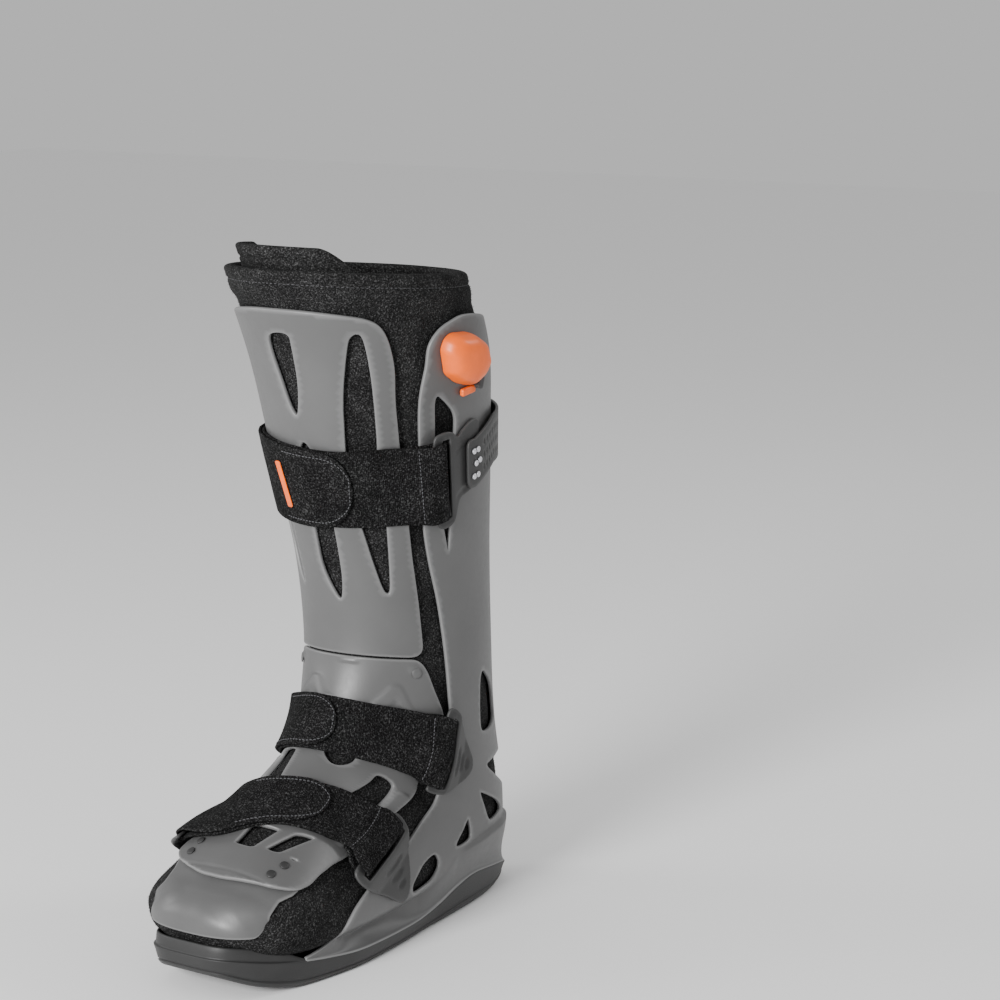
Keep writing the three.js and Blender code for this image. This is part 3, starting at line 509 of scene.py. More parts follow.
# Brushed loop cloth: dark pile with paler loop tips, and ribs where it is woven coarser.
def clothMaterial(name, settings):
    material, nodes, links, shader = newMaterial(name, {"Roughness": 0.92, "Specular IOR Level": 0.06})
    coordinates = nodes.new("ShaderNodeTexCoord")
    where = coordinates.outputs["Object"]
    loops = nodes.new("ShaderNodeTexVoronoi")
    loops.inputs["Scale"].default_value = settings["loops"]
    links.new(where, loops.inputs["Vector"])
    fine = noiseNode(nodes, links, where, settings["loops"], 2, 0.6)
    patch = noiseNode(nodes, links, where, 55, 3)
    dark, pale = settings["dark"], settings["pale"]
    tips = rampNode(nodes, links, fine, [(0.36, [dark] * 3), (0.54, [dark * 3] * 3), (0.74, [pale] * 3)])
    wearAndHighlight = rampNode(nodes, links, patch, [(0.3, [0.65] * 3), (0.7, [1.25] * 3)])
    links.new(mixNode(nodes, links, 1.0, tips, wearAndHighlight, "MULTIPLY"), shader.inputs["Base Color"])
    pile = bumpNode(nodes, links, loops.outputs["Distance"], 0.8, 0.0006)
    pile = bumpNode(nodes, links, fine, 0.7, 0.0006, pile)
    if settings.get("ribs"):
        wave = nodes.new("ShaderNodeTexWave")
        wave.inputs["Scale"].default_value = settings["ribs"]
        wave.inputs["Distortion"].default_value = 1.2
        wave.inputs["Detail Scale"].default_value = 3
        links.new(coordinates.outputs["UV"], wave.inputs["Vector"])
        pile = bumpNode(nodes, links, wave.outputs["Fac"], 0.5, 0.0007, pile)
    links.new(pile, shader.inputs["Normal"])
    return material


def plainMaterial(name, colour, roughness, metallic=0.0):
    material, nodes, links, shader = newMaterial(name, {"Roughness": roughness, "Metallic": metallic})
    where = nodes.new("ShaderNodeTexCoord").outputs["Object"]
    cloud = noiseNode(nodes, links, where, 60, 4)
    lower, upper = [c * 0.86 for c in colour], [min(1, c * 1.1) for c in colour]
    links.new(rampNode(nodes, links, cloud, [(0.3, lower), (0.7, upper)]), shader.inputs["Base Color"])
    grain = noiseNode(nodes, links, where, 900, 3)
    links.new(bumpNode(nodes, links, grain, 0.12, 0.0002), shader.inputs["Normal"])
    return material


shellPlastic = plasticMaterial()
soleRubber = rubberMaterial("soleRubber", 0.016, 0.024, 0.5)
fittingRubber = rubberMaterial("fittingRubber", 0.018, 0.028, 0.48)
linerCloth = clothMaterial("linerCloth", {"loops": 1000, "dark": 0.006, "pale": 0.085})
strapCloth = clothMaterial("strapCloth", {"loops": 900, "dark": 0.004, "pale": 0.07, "ribs": 260})
threadCloth = plainMaterial("thread", (0.075, 0.075, 0.08), 0.8)
pileCloth = plainMaterial("pile", (0.022, 0.022, 0.024), 0.85)
orangePlastic = plainMaterial("orangePlastic", (0.95, 0.13, 0.0), 0.4)
studMetal = plainMaterial("studMetal", (0.62, 0.62, 0.65), 0.35, 0.6)
print("materials made")

# Rear shell
rearEdge = [
    [0.58, 78], [0.74, 70], [0.96, 66], [1.34, 60], [1.8, 58], [2.57, 57], [3, 59], [3.47, 64], [4.11, 69],
    [4.71, 74], [5.12, 77], [5.28, 79], [5.8, 75], [6.38, 66], [6.66, 60], [7.1, 59], [7.57, 62], [8.5, 74],
    [9.1, 81], [9.6, 88], [10.05, 97], [10.4, 107],
]
rearTop = [[0.7, 180], [0.62, 150], [0.47, 122], [0.42, 100], [0.48, 88]]
skirtTip = [10.52, 111]
cupLip = [
    [10.3, 116], [9.9, 121], [9.4, 125.5], [8.9, 127.5], [8.25, 125], [7.81, 120.5], [7.41, 126], [6.98, 135],
    [6.64, 146], [6.35, 157], [6.2, 168], [6.16, 180],
]
rearWindows = [
    [
        [1.28, 71], [1.36, 76], [1.51, 84], [1.79, 83], [2.62, 78], [2.98, 74], [2.62, 70], [1.77, 67],
        [1.34, 68],
    ],
    [[4.39, 116], [4.49, 111], [5.32, 115], [5.22, 132], [5.01, 147], [4.79, 146], [4.58, 134]],
    [[5.78, 119], [5.48, 144], [5.44, 164], [5.98, 164], [5.91, 141]],
    [[6.27, 112], [6.86, 132], [6.7, 138.5], [6.38, 148], [6.26, 140]],
    [[6.95, 104], [7.7, 112], [7.76, 117], [7.5, 122.5], [7.33, 121.5], [7.1, 112]],
    [[8.07, 100], [8.44, 99], [9.0, 110], [9.06, 117], [8.98, 121], [8.6, 122], [8.23, 115]],
]
soleHalves = [[0, 0.466], [0.15, 0.5], [0.33, 0.5], [0.6, 0.414], [0.8, 0.4], [1, 0.38]]
rimHeights = [
    [0, 1.12], [0.05, 1], [0.1, 0.86], [0.2, 0.66], [0.3, 0.52], [0.45, 0.47], [0.55, 0.46], [0.62, 0.56],
    [0.7, 0.82], [0.77, 0.93], [0.84, 0.82], [0.92, 0.66], [0.97, 0.5], [1, 0.32],
]
sole = {
    "width": 116, "rim": 25, "front": soleLow[1], "back": soleHigh[1], "toeSpring": 18, "heelSpring": 5,
    "columns": 300, "treadDepth": 1.3, "treadPitch": 9,
}
rear = {
    "spacing": 2.6, "cupStep": 2.5, "bulge": 0.8, "wall": 2.6, "skirtInset": 0.6, "skirtRows": 16,
    "flare": 0.9, "leave": 1.15, "arrive": 0.4, "reach": 12, "lipPoints": 330, "tongueEnd": -102,
    "tongueRows": 15, "tongueLift": 0.6, "tongueKnee": (2.5, 3, 1.5), "backFlare": 1.2,
    "stepAngles": (119, 128), "stepStations": (-8.1, -7.6),
}


def soleShare(y):
    return np.clip((y - sole["front"]) / (sole["back"] - sole["front"]), 0, 1)


def smoothed(table, at):
    spread = np.linspace(-0.03, 0.03, 7)
    return np.mean([along(table, np.clip(at + d, 0, 1)) for d in spread], axis=0)


# Height of the sole's rim.
def rimAt(y):
    return smoothed(rimHeights, soleShare(y)) * sole["rim"]


# Points round the sole, t in radians from the toe.
def soleRing(t, inset=0.0, front=None, back=None):
    front = sole["front"] if front is None else front
    back = sole["back"] if back is None else back
    y = front + (back - front) * (1 - np.cos(t)) / 2
    square = 0.55 + 0.05 * np.cos(t) * -1
    half = smoothed(soleHalves, soleShare(y)) * sole["width"] - inset
    return np.stack([np.sign(np.sin(t)) * np.abs(np.sin(t)) ** square * half, y], 1)


def mirrorAngles(path, middle=180.0):
    return [[s, 2 * middle - a] for s, a in reversed(path)]


def denseLine(path, count):
    path = np.asarray(path, float)
    plane = toMap(path)
    lengths = travel(plane)
    return sampled(path, lengths, np.linspace(0, lengths[-1], count))


# Wall with windows, and the skirt from its lower lip out to the sole's rim.
def rearShell():
    tipBack = mirrorAngles([skirtTip])
    lip = denseLine([skirtTip, *cupLip, *mirrorAngles(cupLip)[1:], *tipBack], rear["lipPoints"])
    crown = [*rearTop[::-1], *mirrorAngles(rearTop[::-1])[1:]]
    around = [*rearEdge[::-1], *crown, *mirrorAngles(rearEdge[::-1])]
    side = smoothOpen(toMap([skirtTip, *around, *tipBack]), 1.8)[1:-1]
    rim = np.vstack([side, toMap(lip)[::-1]])
    windows = [*rearWindows, *[mirrorAngles(w) for w in rearWindows]]
    plane, faces = fillOutline([rim, *[rounded(toMap(w), 7, 1.3) for w in windows]], rear["spacing"])
    s, a = fromMap(plane)
    wallSkin = onBody(s, a, shellOuter + backFlare(s, a))
    tree = treeOf(plane)
    lipIds = np.array([tree.find((*p, 0))[1] for p in toMap(lip)])
    heel = smooth(np.minimum(lip[:, 1], 360 - lip[:, 1]), *rear["stepAngles"])
    heel *= smooth(-lip[:, 0], *rear["stepStations"])
    proud = onBody(lip[:, 0], lip[:, 1], shellOuter + rear["cupStep"] * heel)
    tips = [skirtTongue(wallSkin[i], side) for i, side in ((lipIds[0], 1), (lipIds[-1], -1))]
    top = np.vstack([tips[0][::-1], proud, tips[1]])
    rows = skirtRows(top)
    extra = len(tips[0])
    count = len(wallSkin)
    firstRow = np.concatenate([count + np.arange(extra), lipIds, count + extra + np.arange(extra)])
    points = np.vstack([wallSkin, tips[0][::-1], tips[1], *rows])
    base = count + 2 * extra
    rowIds = [firstRow, *[base + i * len(top) + np.arange(len(top)) for i in range(len(rows))]]
    quads = np.vstack([np.stack([u[:-1], v[:-1], v[1:], u[1:]], 1) for u, v in zip(rowIds, rowIds[1:])])
    triangles = halved(quads)
    if meanFacing(wallSkin, faces, outward(s, a)) < 0:
        faces = faces[:, ::-1]
    middle = points[base:].mean(0)
    first, second, third = (points[triangles[:, k]] for k in (0, 1, 2))
    if ((first - middle) * np.cross(second - first, third - first)).sum() < 0:
        triangles = triangles[:, ::-1]
    allFaces = np.vstack([faces, triangles])
    normals = vertexNormals(points, allFaces)
    flatTop = np.stack([np.arange(len(top)) * 1.6, np.zeros(len(top))], 1)
    flat = np.vstack([plane, flatTop[: 2 * extra], *[flatTop + [0, 3.0 * (i + 1)] for i in range(len(rows))]])
    inner = points - normals * rear["wall"]
    return closeSheet("base_shell_look", points, inner, allFaces, flat, rear["bulge"])


# Upper edge of the skirt ahead of the rear shell's wall, down to the sole's rim.
def skirtTongue(start, side):
    y = rear["tongueEnd"]
    spread = soleSide(y) - rear["skirtInset"]
    end = np.array([side * spread, y, rimAt(np.array([y]))[0] + rear["tongueLift"]])
    out, ahead, up = rear["tongueKnee"]
    knee = np.array([side * (spread + out), (start[1] + y) / 2 - ahead, end[2] + up])
    t = np.linspace(0, 1, rear["tongueRows"])[1:, None]
    return (1 - t) ** 2 * start + 2 * t * (1 - t) * knee + t**2 * end


def soleSide(y):
    t = np.linspace(0.02, np.pi - 0.02, 400)
    ring = soleRing(t)
    return np.interp(y, ring[:, 1], ring[:, 0])


# The upright stands out a little where it ends behind the calf.
def backFlare(s, a):
    away = np.abs(np.asarray(a) - 180)
    return rear["backFlare"] * (1 - smooth(s, 0.5, 1.6)) * (1 - smooth(away, 70, 100))


def skirtRows(start):
    lengths = travel(start)
    t = np.linspace(0, 2 * np.pi, 1441)
    ring = soleRing(t, rear["skirtInset"], back=sole["back"] - rear["skirtInset"])
    first = np.argmin(np.abs(ring[:720, 1] - rear["tongueEnd"]))
    ring = ring[first : 1441 - first]
    around = travel(ring)
    at = lengths / lengths[-1] * around[-1]
    x, y = sampled(ring, around, at).T
    end = np.stack([x, y, rimAt(y)], 1)
    run = np.gradient(end[:, :2], axis=0)
    away = unit(np.stack([run[:, 1], -run[:, 0], np.zeros(len(run))], 1))
    away *= np.sign((away[:, :2] * (end[:, :2] - [0, 20])).sum(1))[:, None]
    drop = np.maximum(start[:, 2] - end[:, 2], 0.5)[:, None]
    down = np.array([0, 0, -1.0])
    rows = []
    for h in np.linspace(0.05, 1, rear["skirtRows"]):
        arrive = (away * rear["flare"] + down * rear["arrive"]) * np.minimum(drop, rear["reach"])
        rows.append(bend(start, down * drop * rear["leave"], end, arrive, h))
    return rows


def vertexNormals(points, faces):
    a, b, c = (points[faces[:, k]] for k in (0, 1, 2))
    each = np.cross(b - a, c - a)
    total = np.zeros_like(points)
    for k in range(3):
        np.add.at(total, faces[:, k], each)
    return unit(total)


# Smooth curve through the points of an open line, sampled evenly.
def smoothOpen(corners, step):
    corners = np.asarray(corners, float)
    at = np.linspace(0, len(corners) - 1, len(corners) * 12)
    path = through(corners, at)
    lengths = travel(path)
    return sampled(path, lengths, np.linspace(0, lengths[-1], int(lengths[-1] / step)))


finished(rearShell(), shellPlastic, "shell_plastic", "base_shell")
print("rear shell made")


# Height of the sole's underside, which rises at the toe and a little at the heel.
def soleUnder(y):
    share = soleShare(y)
    springs = [[0, 1], [0.04, 0.62], [0.09, 0.27], [0.17, 0], [1, 0]]
    return smoothed(springs, share) * sole["toeSpring"] + sole["heelSpring"] * smooth(share, 0.86, 1)


# Sides of the outsole. Columns: share of the way from the bottom to the rim, inset, and share of
# the toe wall's height.
soleProfile = [
    [0.0, 9, 0], [0.0, 6.5, 0], [0.03, 4.6, 0], [0.09, 3.5, 0], [0.15, 3.0, 0], [0.17, 2.5, 0], [0.2, 2.4, 0],
    [0.22, 3.1, 0], [0.25, 3.1, 0], [0.28, 2.5, 0], [0.45, 1.9, 0], [0.7, 1.1, 0], [0.88, 0.4, 0],
    [0.94, 0.2, 0],
    [0.98, 0.5, 0], [0.99, 1.5, 0], [1.0, 1.5, 0.12], [1.0, 1.8, 0.5], [1.0, 2.1, 0.88], [1.0, 2.6, 1.0],
    [1.0, 3.6, 1.0], [1.0, 4.3, 0.8], [1.0, 5.0, 0.2], [0.92, 7, 0],
]
toeWall = {"height": 7.5, "start": -96, "full": -126}


def makeOutsole():
    columns = sole["columns"]
    t = np.linspace(0, 2 * np.pi, columns, endpoint=False) + np.pi / columns
    rings = []
    for level, inset, rise in soleProfile:
        ring = soleRing(t, inset, sole["front"] + inset, sole["back"] - inset)
        low, top = soleUnder(ring[:, 1]), rimAt(ring[:, 1]) - 0.4
        wallTop = toeWall["height"] * smooth(-ring[:, 1], -toeWall["start"], -toeWall["full"])
        rings.append(np.column_stack([ring, low + (top - low) * level + wallTop * rise]))
    under = [rings[0] * [k, k, 1] + [0, -2 * (1 - k), 0] for k in np.linspace(0.04, 0.97, 40)]
    over = [rings[-1] * [k, k, 1] + [0, -2 * (1 - k), 0] for k in (0.6, 0.2)]
    for ring in under:
        phase = ring[:, 1] * 2 * np.pi / sole["treadPitch"] + 2.2 * np.abs(ring[:, 0]) / 30
        groove = 0.5 + 0.5 * np.tanh(4 * np.sin(phase))
        edge = 1 - smooth(np.abs(ring[:, 0]) / np.maximum(soleSide(ring[:, 1]), 1), 0.78, 0.86)
        ring[:, 2] = soleUnder(ring[:, 1]) + sole["treadDepth"] * groove * edge
    rings = [*under, *rings, *over]
    points = np.vstack([*rings, [[0, 0, under[0][:, 2].mean()]], [[0, 0, over[-1][:, 2].mean()]]])
    faces = stackFaces(len(rings), columns)
    thing = makeObject("outsole_look", points, faces, points[:, :2], np.zeros(len(points)))
    faceOut(thing)
    return thing


def faceOut(thing):
    work = bmesh.new()
    work.from_mesh(thing.data)
    bmesh.ops.recalc_face_normals(work, faces=work.faces)
    work.to_mesh(thing.data)
    work.free()


finished(makeOutsole(), soleRubber, "sole_rubber", "outsole")
print("outsole made")

# Front shells
shinAxis = [[0, -1], [1.5, 0], [3, 4], [4.2, 8], [6, 10], [9, 12], [10.4, 10.5], [11.5, 9], [13, 8.5]]
shinEdge = [
    [0.34, 12], [0.38, 29], [0.43, 43], [0.56, 48], [0.9, 48.5], [1.33, 46], [1.84, 46], [2.99, 47],
    [3.45, 49], [4.19, 51],
]
shinWindows = [
    [[0.6, -8], [0.58, 5], [0.75, 4.5], [1.19, 3.5], [1.48, 1], [1.52, -1], [1.4, -4], [0.83, -9]],
    [
        [0.62, 31], [0.56, 35], [0.6, 38], [1.79, 36], [2.1, 34], [2.06, 20], [1.84, 20], [1.33, 22],
        [1.0, 25], [0.72, 29],
    ],
    [[1.72, 1], [1.88, 6], [2.3, 8], [2.3, -5], [1.88, -3]],
    [[2.4, -3], [2.4, 9], [3.24, 9.5], [3.5, 7.5], [3.31, 2], [3.04, -3]],
    [[2.4, 20], [2.4, 36], [3.33, 34], [3.38, 32], [3.33, 29], [2.99, 25]],
    [[2.4, -36], [2.4, -22], [2.88, -22], [3.16, -19], [3.36, -18], [3.2, -26], [2.88, -33]],
]
shin = {"spacing": 2.4, "bulge": 0.8, "corner": 9}


def shinShell():
    right = [[s, e] for s, e in shinEdge]
    left = [[s, along(shinAxis, s) - e] for s, e in reversed(shinEdge)]
    loops = [rounded(toMap(right + left), shin["corner"])]
    loops += [rounded(toMap(w), shin["corner"], 1.2) for w in shinWindows]
    plane, faces = fillOutline(loops, shin["spacing"])
    s, a = fromMap(plane)
    outer, inner = onBody(s, a, shellOuter), onBody(s, a, shellGap)
    return closeSheet("shin_shell_look", outer, inner, faces, plane, shin["bulge"])


instepEdge = [
    [4.26, 20], [4.25, 40], [4.41, 45.5], [4.73, 51], [5.06, 58], [5.6, 58], [6.1, 44], [6.58, 29], [7.5, 30],
    [8.2, 33], [9, 40], [9.5, 45], [9.8, 47], [10.23, 52], [10.58, 57.5], [10.93, 59.5], [11.2, 54.5],
    [11.36, 42], [11.47, 25], [11.5, 12],
]
instepWindows = [
    [[7.0, -9], [6.9, -1], [7.85, -1], [9.2, 0], [9.2, -26], [7.9, -14]],
    [[6.9, 21], [7.0, 29], [7.9, 34], [9.2, 42], [9.2, 24], [7.85, 21]],
    [[5.6, 2], [5.6, 18], [6.95, 14], [7.25, 10], [6.95, 6]],
    [[9.75, 3], [9.7, 21], [10.5, 21], [10.5, 3]],
    [[9.6, 28], [9.5, 37], [10.38, 38], [10.4, 28]],
]
toeHoles = [[10.99, 44], [10.61, 40], [10.32, 37]]
instep = {"spacing": 1.7, "bulge": 0.7, "hole": 2.1, "rivet": 3.4, "rivetRise": 0.8, "rivetPlace": (4.4, 37)}
# Ribs of the instep panel: start, end, half width and height.
instepRibs = [
    ([4.76, 34], [5.15, 40], 4.5, 1.1), ([4.76, 34], [5.15, 25], 4.5, 1.1),
    ([4.76, -8], [5.15, -1], 4.5, 1.1), ([4.76, -8], [5.15, -17], 4.5, 1.1),
    ([4.32, 6.5], [4.32, 12.5], 2.6, 0.6),
    ([7.3, 36], [9.3, 47], 5, 0.8), ([7.3, -14], [9.3, -25], 5, 0.8),
]
plateGroove = ([11.25, 60], [11.35, -40], 1.6, 0.5)


# How far the plate over the toes stands clear of the liner.
def raised(s):
    return along([[9.2, 0], [10.4, 1.2], [11.1, 3.2], [11.6, 3.6]], s)


# How far the foot straps ride up to pass over the plate.
def strapRise(s):
    return footStrapRise * smooth(s, 4, 5) + raised(s)


# Height of a soft ridge along a line between two places on the body.
def ridge(s, a, start, end, width, height):
    here, (p, q) = toMap(np.stack([s, a], 1)), toMap([start, end])
    t = np.clip((here - p) @ (q - p) / ((q - p) @ (q - p)), 0, 1)
    away = np.linalg.norm(here - p - t[:, None] * (q - p), axis=1)
    return height * (1 - smooth(away, width * 0.45, width))


def disc(s, a, place, radius, height):
    here, spot = toMap(np.stack([s, a], 1)), toMap([place])[0]
    return height * (1 - smooth(np.linalg.norm(here - spot, axis=1), radius * 0.8, radius * 1.15))


# Raised ribs, a small bar and two bosses on the instep panel, and the groove across its plate.
def instepRelief(s, a):
    total = np.zeros(len(s))
    for rib in instepRibs:
        total = np.maximum(total, ridge(s, a, *rib))
    station, aside = instep["rivetPlace"]
    for side in (-1, 1):
        spot = [station, along(shinAxis, station) + side * aside]
        total = np.maximum(total, disc(s, a, spot, instep["rivet"], instep["rivetRise"]))
    return total - ridge(s, a, *plateGroove)


def instepShell():
    right = [[s, along(shinAxis, s) + e] for s, e in instepEdge]
    left = [[s, along(shinAxis, s) - e] for s, e in reversed(instepEdge)]
    loops = [rounded(toMap(right + left), 5, 1.4), *[rounded(toMap(w), 5, 1.2) for w in instepWindows]]
    for side in (-1, 1):
        s, e = toeHoles[2]
        centre = toMap([[s, along(shinAxis, s) + side * e]])[0]
        loops.append(centre + circle(14) * instep["hole"])
    plane, faces = fillOutline(loops, instep["spacing"])
    s, a = fromMap(plane)
    outer = onBody(s, a, shellOuter + raised(s) + instepRelief(s, a))
    inner = onBody(s, a, shellGap + raised(s))
    return closeSheet("instep_shell_look", outer, inner, faces, plane, instep["bulge"])


# Edge of the toe cap from its middle line, and the arc in which it ends over the toe.
toeCapEdge = [[10.8, 58], [11.0, 60.5], [11.33, 62], [11.61, 67], [11.83, 70], [12.13, 72]]
cap = {
    "rows": 34, "lowRows": 30, "columns": 96, "top": 10.8, "last": 12.0, "lastDip": 0.38, "wall": 2.3,
    "clear": 0.8, "lapGap": 0.5, "plateEnd": 11.55, "free": 11.8, "swell": 1.6, "middle": (2, -118),
    "half": 45.5, "depth": 37.5, "square": 0.77, "turn": 73, "height": 40.5, "corner": 7, "leave": 1.5,
    "arrive": 1.1, "bulge": 0.9,
}


# Cap that starts under the toe plate and rolls down over the toe to a level edge.
def toeCap():
    c = np.linspace(-1, 1, cap["columns"])
    last = cap["last"] - cap["lastDip"] * smooth(np.abs(c), 0.45, 1)
    rows = []
    for w in np.linspace(0, 1, cap["rows"]):
        s = cap["top"] + (last - cap["top"]) * w
        lap = shellGap + raised(s) - cap["lapGap"] + 9 * smooth(s, cap["plateEnd"], cap["free"])
        out = np.minimum(cap["clear"] + cap["wall"] + 0.9 * smooth(s, 11.6, 12.4), lap)
        swell = cap["swell"] * smooth(s, 11.5, 12.0) * (1 - 0.7 * smooth(np.abs(c), 0.86, 1))
        rows.append(onBody(s, along(shinAxis, s) + c * along(toeCapEdge, s), out + swell))
    turn = np.radians(cap["turn"]) * c
    across = np.sign(turn) * np.abs(np.sin(turn)) ** cap["square"] * cap["half"]
    ahead = np.abs(np.cos(turn)) ** cap["square"] * cap["depth"]
    height = cap["height"] + cap["corner"] * smooth(np.abs(c), 0.72, 1) ** 2
    end = np.stack([cap["middle"][0] + across, cap["middle"][1] - ahead, height], 1)
    start, leave = rows[-1], unit(rows[-1] - rows[-4])
    span = np.linalg.norm(end - start, axis=1, keepdims=True)
    arrive = np.array([0, 0.15, -1.0])
    for h in np.linspace(0, 1, cap["lowRows"])[1:]:
        rows.append(bend(start, leave * span * cap["leave"], end, arrive * span * cap["arrive"], h))
    outer = np.vstack(rows)
    count = len(rows)
    faces = gridFaces(count, cap["columns"])
    normals = vertexNormals(outer, halved(faces))
    if (normals * (outer - [0, -100, 40])).sum() < 0:
        normals = -normals
    flat = np.stack([np.tile(c * 60, count), np.repeat(np.arange(count), cap["columns"])], 1)
    return closeSheet("toe_cap_look", outer, outer - normals * cap["wall"], faces, flat, cap["bulge"])


finished(shinShell(), shellPlastic, "shell_plastic", "shin_shell")
finished(instepShell(), shellPlastic, "shell_plastic", "instep_shell")
finished(toeCap(), shellPlastic, "shell_plastic", "toe_cap")
print("front shells made")

# Liner
liner = {
    "rimReach": 0.17, "rows": 330, "columns": 230, "innerRows": 90, "puff": 1.3, "wrinkle": 0.5,
    "toeFill": 4.5, "seam": -0.06, "seamDepth": 0.9, "roll": 3.2,
}


# How far the padding swells at a place: least under the shells and the straps.
def linerSwell(s, a):
    a = np.abs((a + 180) % 360 - 180)
    side = smooth(a, 46, 54) * (1 - smooth(a, 58, 70)) * smooth(s, 0.3, 0.9) * (1 - smooth(s, 5.6, 6.2))
    foot = smooth(a, 36, 50) * (1 - smooth(a, 80, 110)) * smooth(s, 6.2, 6.8) * (1 - smooth(s, 9.4, 10))
    toes = smooth(a, 66, 84) * smooth(s, 9.6, 10.6) * (1 - smooth(s, 12.6, 13))
    collar = 1 - smooth(s, 0.1, 0.32)
    under = smooth(a, 88, 118) * smooth(s, 9.8, 11) * (1 - 0.4 * smooth(s, 12.8, 13))
    return liner["puff"] * (0.55 * side + 0.9 * foot + 1.2 * toes + 1.3 * collar) + liner["toeFill"] * under


# Outer skin, rolled rim and inner skin of the boot liner in one closed mesh.
def linerBody():
    s = np.linspace(-liner["rimReach"], toeStation, liner["rows"])
    a = np.linspace(-180, 180, liner["columns"], endpoint=False)
    grid, turn = everyPair(s, a)
    skin = bodyPoints(grid, turn)
    free = linerSwell(grid, turn)
    wrinkle = ripple(skin * [1, 1, 2.2], 46, 3) * liner["wrinkle"] * (0.25 + np.clip(free, 0, 1))
    seam = -liner["seamDepth"] * (1 - smooth(np.abs(grid - liner["seam"]), 0.006, 0.02))
    outer = skin + outward(grid, turn) * (free + wrinkle + seam)[:, None]
    inS = np.linspace(-liner["rimReach"], toeStation - 0.9, liner["innerRows"])
    inGrid, inTurn = everyPair(inS, a)
    inner = bodyPoints(inGrid, inTurn, linerWall - 1.5 * smooth(inGrid, 9, 12))
    columns = liner["columns"]
    topOut, topIn = outer[:columns], inner[:columns]
    up = unit(bodyPoints(np.full(columns, -0.2), a) - bodyPoints(np.zeros(columns), a))
    roll = []
    for turned in np.linspace(0, np.pi, 10)[1:-1]:
        k = (1 - math.cos(turned)) / 2
        roll.append(topOut * (1 - k) + topIn * k + up * liner["roll"] * math.sin(turned))
    skinRows = outer.reshape(liner["rows"], columns, 3)
    rings = [*skinRows[::-1], *roll, *inner.reshape(liner["innerRows"], columns, 3)]
    points = np.vstack([*rings, [rings[0].mean(0)], [rings[-1].mean(0)]])
    faces = stackFaces(len(rings), columns)
    rowOf = np.repeat(np.arange(len(rings)), columns)
    flat = np.stack([np.tile(a, len(rings)) * degreeWidth, rowOf * 1.6], 1)
    flat = np.vstack([flat, [[0, 0]], [[0, 0]]])
    thing = makeObject("liner_look", points, faces, flat, np.zeros(len(points)))
    faceOut(thing)
    return thing, outer, skinRows[np.argmin(np.abs(s - liner["seam"]))]


flap = {
    "clearance": 1.25, "wall": 5, "reach": 0.46, "low": 1.1, "rows": 90, "columns": 150,
    "from": -84, "span": 136,
}


# Flap inside the rim, which stands above it at the front.
def linerFlap():
    down = np.linspace(-flap["reach"], flap["low"], flap["rows"])
    s, share = everyPair(down, np.linspace(0, 1, flap["columns"]))
    corner = 0.13 * (1 - smooth(share, 0.0, 0.05))
    slope = (0.8 * flap["reach"] * smooth(share, 0.8, 1) + corner) * (s < 0) * (-s / flap["reach"])
    a = flap["from"] + flap["span"] * share
    outer = bodyPoints(s + slope, a, linerWall + flap["clearance"])
    inner = bodyPoints(s + slope, a, linerWall + flap["clearance"] + flap["wall"])
    wave = ripple(outer, 60, 8) * 0.4 - 0.8 * (1 - smooth(np.abs(s + 0.33), 0.008, 0.03))
    outer += unit(outer - inner) * wave[:, None]
    flat = np.stack([a * degreeWidth, s * 50], 1)
    faces = gridFaces(flap["rows"], flap["columns"])
    return closeSheet("liner_flap_look", outer, inner, faces, flat, 2.2, 8)


# Geometry Nodes trees for what repeats
def newTree(name, inputs):
    tree = bpy.data.node_groups.new(name, "GeometryNodeTree")
    tree.interface.new_socket("Geometry", in_out="INPUT", socket_type="NodeSocketGeometry")
    tree.interface.new_socket("Geometry", in_out="OUTPUT", socket_type="NodeSocketGeometry")
    for label, value in inputs.items():
        kind = "NodeSocketInt" if isinstance(value, int) else "NodeSocketFloat"
        tree.interface.new_socket(label, in_out="INPUT", socket_type=kind).default_value = value
    return tree, tree.nodes.new("NodeGroupInput"), tree.nodes.new("NodeGroupOutput")


def newNode(tree, kind, values):
    node = tree.nodes.new(kind)
    for socket, value in values.items():
        node.inputs[socket].default_value = value
    return node


def endTree(tree, instances, out, material):
    real = tree.nodes.new("GeometryNodeRealizeInstances")
    paint = tree.nodes.new("GeometryNodeSetMaterial")
    paint.inputs["Material"].default_value = material
    tree.links.new(instances, real.inputs["Geometry"])
    tree.links.new(real.outputs["Geometry"], paint.inputs["Geometry"])
    tree.links.new(paint.outputs["Geometry"], out.inputs["Geometry"])


# Links of a tree. Columns: node and output, node and input.
def linkAll(tree, rows):
    for source, given, target, taken in rows:
        tree.links.new(source.outputs[given], target.inputs[taken])


